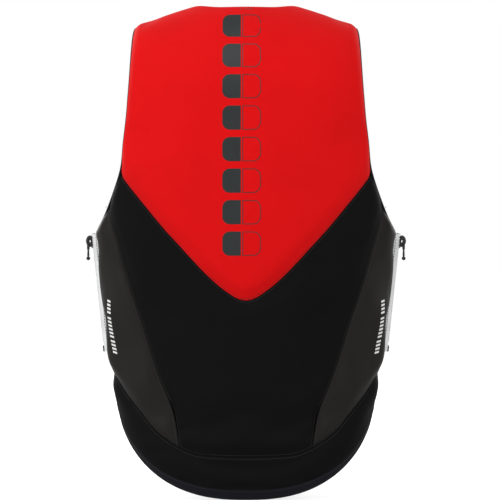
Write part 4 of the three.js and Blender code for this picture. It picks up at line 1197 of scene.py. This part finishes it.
FIRST_TOOTH, TEETH_ENDS = -4.0, 0.014   # the first tooth's middle, and the length without teeth
for half, facing in (("back", 1), ("front", -1)):
    middle = FIRST_TOOTH - (0 if half == "back" else TEETH_PITCH * 500)
    head = block((0.0, facing * -0.7, middle - 0.65), (1.8, facing * 1.3, middle + 0.65), 0.3, teeth_plastic)
    foot = block((-0.1, facing * 1.2, middle - 0.9), (1.9, facing * 3.6, middle + 0.9), 0.35, teeth_plastic)
    tooth = joined("tooth", [head, foot])
    repeat = tooth.modifiers.new("repeat", "ARRAY")
    repeat.count = int((ZIP_LENGTH - TEETH_ENDS) / TEETH_PITCH)
    repeat.use_relative_offset = False
    repeat.use_constant_offset = True
    repeat.constant_offset_displace = (0, 0, -TEETH_PITCH)
    bpy.ops.object.modifier_apply(modifier="repeat")
    parts = [tooth, block((-0.2, facing * 0.9, -2.6), (2.0, facing * 3.7, 0.0), 0.4, teeth_plastic)]
    if half == "front":
        parts.append(block((-0.1, facing * 1.0, -147.8), (1.9, facing * 3.3, -139.8), 0.4, teeth_plastic))
    both_sides(joined(f"{half}_teeth", parts), f"{half}_teeth_row", f"{half}_zip_teeth")

# ---- Zip boxes ---------------------------------------------------------------------------------
# The retaining box moulded on the back tape's foot, which holds the pin of the open end.
black_plastic = dyed("black_plastic", (0.010, 0.010, 0.011), 0.32, 0.2, 400, grit=0.2)
box_body = block((-0.7, 0.9, -147.8), (2.5, 3.6, -140.0), 0.5, black_plastic, 3)
ridges = [block((2.2, 1.4, foot), (2.9, 3.1, foot + 1.2), 0.25, black_plastic) for foot in (-146.4, -143.6)]
both_sides(joined("zip_box", [box_body, *ridges]), "zip_box_moulding", "zip_box")

# ---- Sliders -----------------------------------------------------------------------------------
# The slider that runs on both rows: two plates joined by a wedge at the top, with turned-in flanges,
# and a tall rounded bail on the outer plate that carries the puller.
PLATE_FOOT, PLATE_TAPER_TOP, PLATE_NARROWING = -0.0184, -0.0055, 0.24
BAIL_PLACE = (0.0046, 0, -0.0096)


def slider_plate(back, face):
    """One plate of the slider between two depths, drawn in across the zip at its lower end."""
    piece = block((back, -4.5, PLATE_FOOT * 1000), (face, 4.5, -3.4), 0.5, black_plastic, 3)
    for vertex in piece.data.vertices:
        share = (PLATE_TAPER_TOP - vertex.co.z) / (PLATE_TAPER_TOP - PLATE_FOOT)
        vertex.co.y *= 1 - PLATE_NARROWING * min(1, max(0, share))
    return piece


casting = [slider_plate(2.3, 3.6), slider_plate(-1.8, -0.5)]
casting.append(block((-1.0, -0.6, -9.0), (2.8, 0.6, -4.0), 0.25, black_plastic))
bpy.ops.object.select_all(action="DESELECT")
bpy.ops.mesh.primitive_torus_add(location=BAIL_PLACE, rotation=(math.pi / 2, 0, 0), major_radius=0.0033,
                                 minor_radius=0.0022, major_segments=40, minor_segments=12)
bail = bpy.context.object
bpy.ops.object.transform_apply(location=True, rotation=True, scale=True)
bpy.ops.object.mode_set(mode="EDIT")
bpy.ops.transform.resize(value=(1, 0.92, 1.32), center_override=BAIL_PLACE)
bpy.ops.object.mode_set(mode="OBJECT")
bail.data.materials.append(black_plastic)
casting += [bail, block((3.2, -1.7, -16.0), (4.3, 1.7, -4.0), 0.45, black_plastic, 3)]
both_sides(joined("slider", casting), "slider_casting", "zip_slider")

# ---- Pullers -----------------------------------------------------------------------------------
# A moulded rubber puller hangs plumb from each bail: a pin through the eye between two cheeks, a thin
# stem, and a ribbed knob to grip.
soft_rubber = dyed("soft_rubber", (0.0085, 0.0085, 0.0090), 0.55, 0.2, 500, grit=0.25)
PULLER_PIN = (0.195964, 0, -0.293189)


def round_bar(radius, half_length, z, vertices=20):
    """A short rubber bar across the zip, in millimetres, with softened ends."""
    bpy.ops.object.select_all(action="DESELECT")
    bpy.ops.mesh.primitive_cylinder_add(vertices=vertices, radius=radius / 1000, depth=2 * half_length / 1000,
                                        location=(0, 0, z / 1000), rotation=(math.pi / 2, 0, 0))
    return rounded(soft_rubber, 0.3)


parts = [round_bar(0.9, 2.6, 0), round_bar(2.3, 2.9, -21.2, 24)]
for y in (-2.2, 2.2):
    parts.append(block((-1.5, y - 0.5, -10.0), (1.5, y + 0.5, 1.6), 0.45, soft_rubber, 3))
parts.append(block((-1.0, -2.7, -20.6), (1.0, 2.7, -8.6), 0.6, soft_rubber, 3))
for z in (-17.6, -16.2, -14.8):
    parts.append(block((-1.5, -2.5, z - 0.35), (1.5, 2.5, z + 0.35), 0.3, soft_rubber))
both_sides(joined("puller", parts), "puller_moulding", "zip_puller",
           lambda sign: Matrix.Translation((sign * PULLER_PIN[0], 0, PULLER_PIN[2])))

# ---- Zip flaps ---------------------------------------------------------------------------------
# A soft flap behind each zip keeps the teeth off the wearer: one layer of the lining cloth, sewn to
# the back half and reaching past the zip behind the front one.
FLAP_THICKNESS, FLAP_CORNER, FLAP_INSET, FLAP_SPARE, FLAP_WAVE = 0.0011, 0.008, 0.0006, 0.0015, 0.0004
for wearer_side, sign in WEARER_SIDES:
    low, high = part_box(f"zip_flap_{wearer_side}")
    v, u = np.meshgrid(np.linspace(0, 1, 50), np.linspace(0, 1, 24), indexing="ij")
    y = low.y + (high.y - low.y) * u
    corner = np.clip(np.minimum(v, 1 - v) * (high.z - low.z) / FLAP_CORNER, 0, 1)
    y = np.where(u < 0.5, y + FLAP_CORNER * (1 - np.sqrt(1 - (1 - corner) ** 2)) * (0.5 - u) * 2, y)
    z = high.z - FLAP_INSET - (high.z - low.z - 2 * FLAP_INSET) * v
    inner_x, outer_x = sorted((abs(low.x), abs(high.x)))
    slope = (outer_x - inner_x - FLAP_SPARE) * (1 - v)
    x = sign * (inner_x + FLAP_THICKNESS + slope + FLAP_WAVE * np.sin(v * 17) * np.cos(u * 5))
    outer = np.stack([x, y, z], -1)
    flap = wall_piece(f"zip_flap_cloth_{wearer_side}", outer, outer - np.array([sign * FLAP_THICKNESS, 0, 0]),
                      charcoal_mesh, np.stack([y, z], -1))
    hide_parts(f"zip_flap_{wearer_side}")
    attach(flap, BODY[f"zip_flap_{wearer_side}"])

# ---- Hanger loop -------------------------------------------------------------------------------
# A loop of narrow black webbing sewn inside the back of the neck, to hang the vest up by.
webbing = ribbed("webbing", (0.014, 0.014, 0.018), 0.0014)
BAND, BAND_HALF_THICKNESS, LOOP_INSET, LOOP_CORNER = 0.0028, 0.0009, 0.003, 0.006
low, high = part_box("hanger_loop")
foot, half_loop = low.z - high.z + LOOP_INSET, (high.x - low.x) / 2 - LOOP_INSET
turn = np.linspace(0, np.pi / 2, 8)
corner = np.stack([half_loop - LOOP_CORNER * (1 - np.cos(turn)), foot + LOOP_CORNER * (1 - np.sin(turn))], -1)
side_z = np.linspace(0, foot + LOOP_CORNER, 8)[:-1]
half_path = np.concatenate([np.stack([np.full(7, half_loop), side_z], -1), corner,
                            [[half_loop / 2 - LOOP_INSET, foot]]])
path = np.concatenate([half_path, [[0, foot]], half_path[::-1] * (-1, 1)])
along = unit(np.gradient(path, axis=0))
side = np.stack([-along[:, 1], along[:, 0]], -1)
section = np.array([(-1, -.5), (-.9, -.8), (.9, -.8), (1, -.5), (1, .5), (.9, .8), (-.9, .8), (-1, .5)])
across = section[:, 0] * BAND
ring = np.empty((len(path), 8, 3))
ring[..., 0] = path[:, :1] + side[:, :1] * across
ring[..., 1] = (low.y + high.y) / 2 + section[:, 1] * BAND_HALF_THICKNESS
ring[..., 2] = high.z + path[:, 1:] + side[:, 1:] * across
mapping = np.stack(np.broadcast_arrays(lengths_along(path)[:, None], across), -1)
last = (len(path) - 1) * 8
caps = [[0, 1, 2, 3], [0, 3, 4, 7], [7, 4, 5, 6]]
caps = [face[::-1] for face in caps] + [[last + k for k in face] for face in caps]
loop = make_piece("hanger_webbing", ring, np.concatenate([loop_faces(len(path), 8), caps]), webbing, mapping)
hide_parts("hanger_loop")
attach(loop, BODY["hanger_loop"])
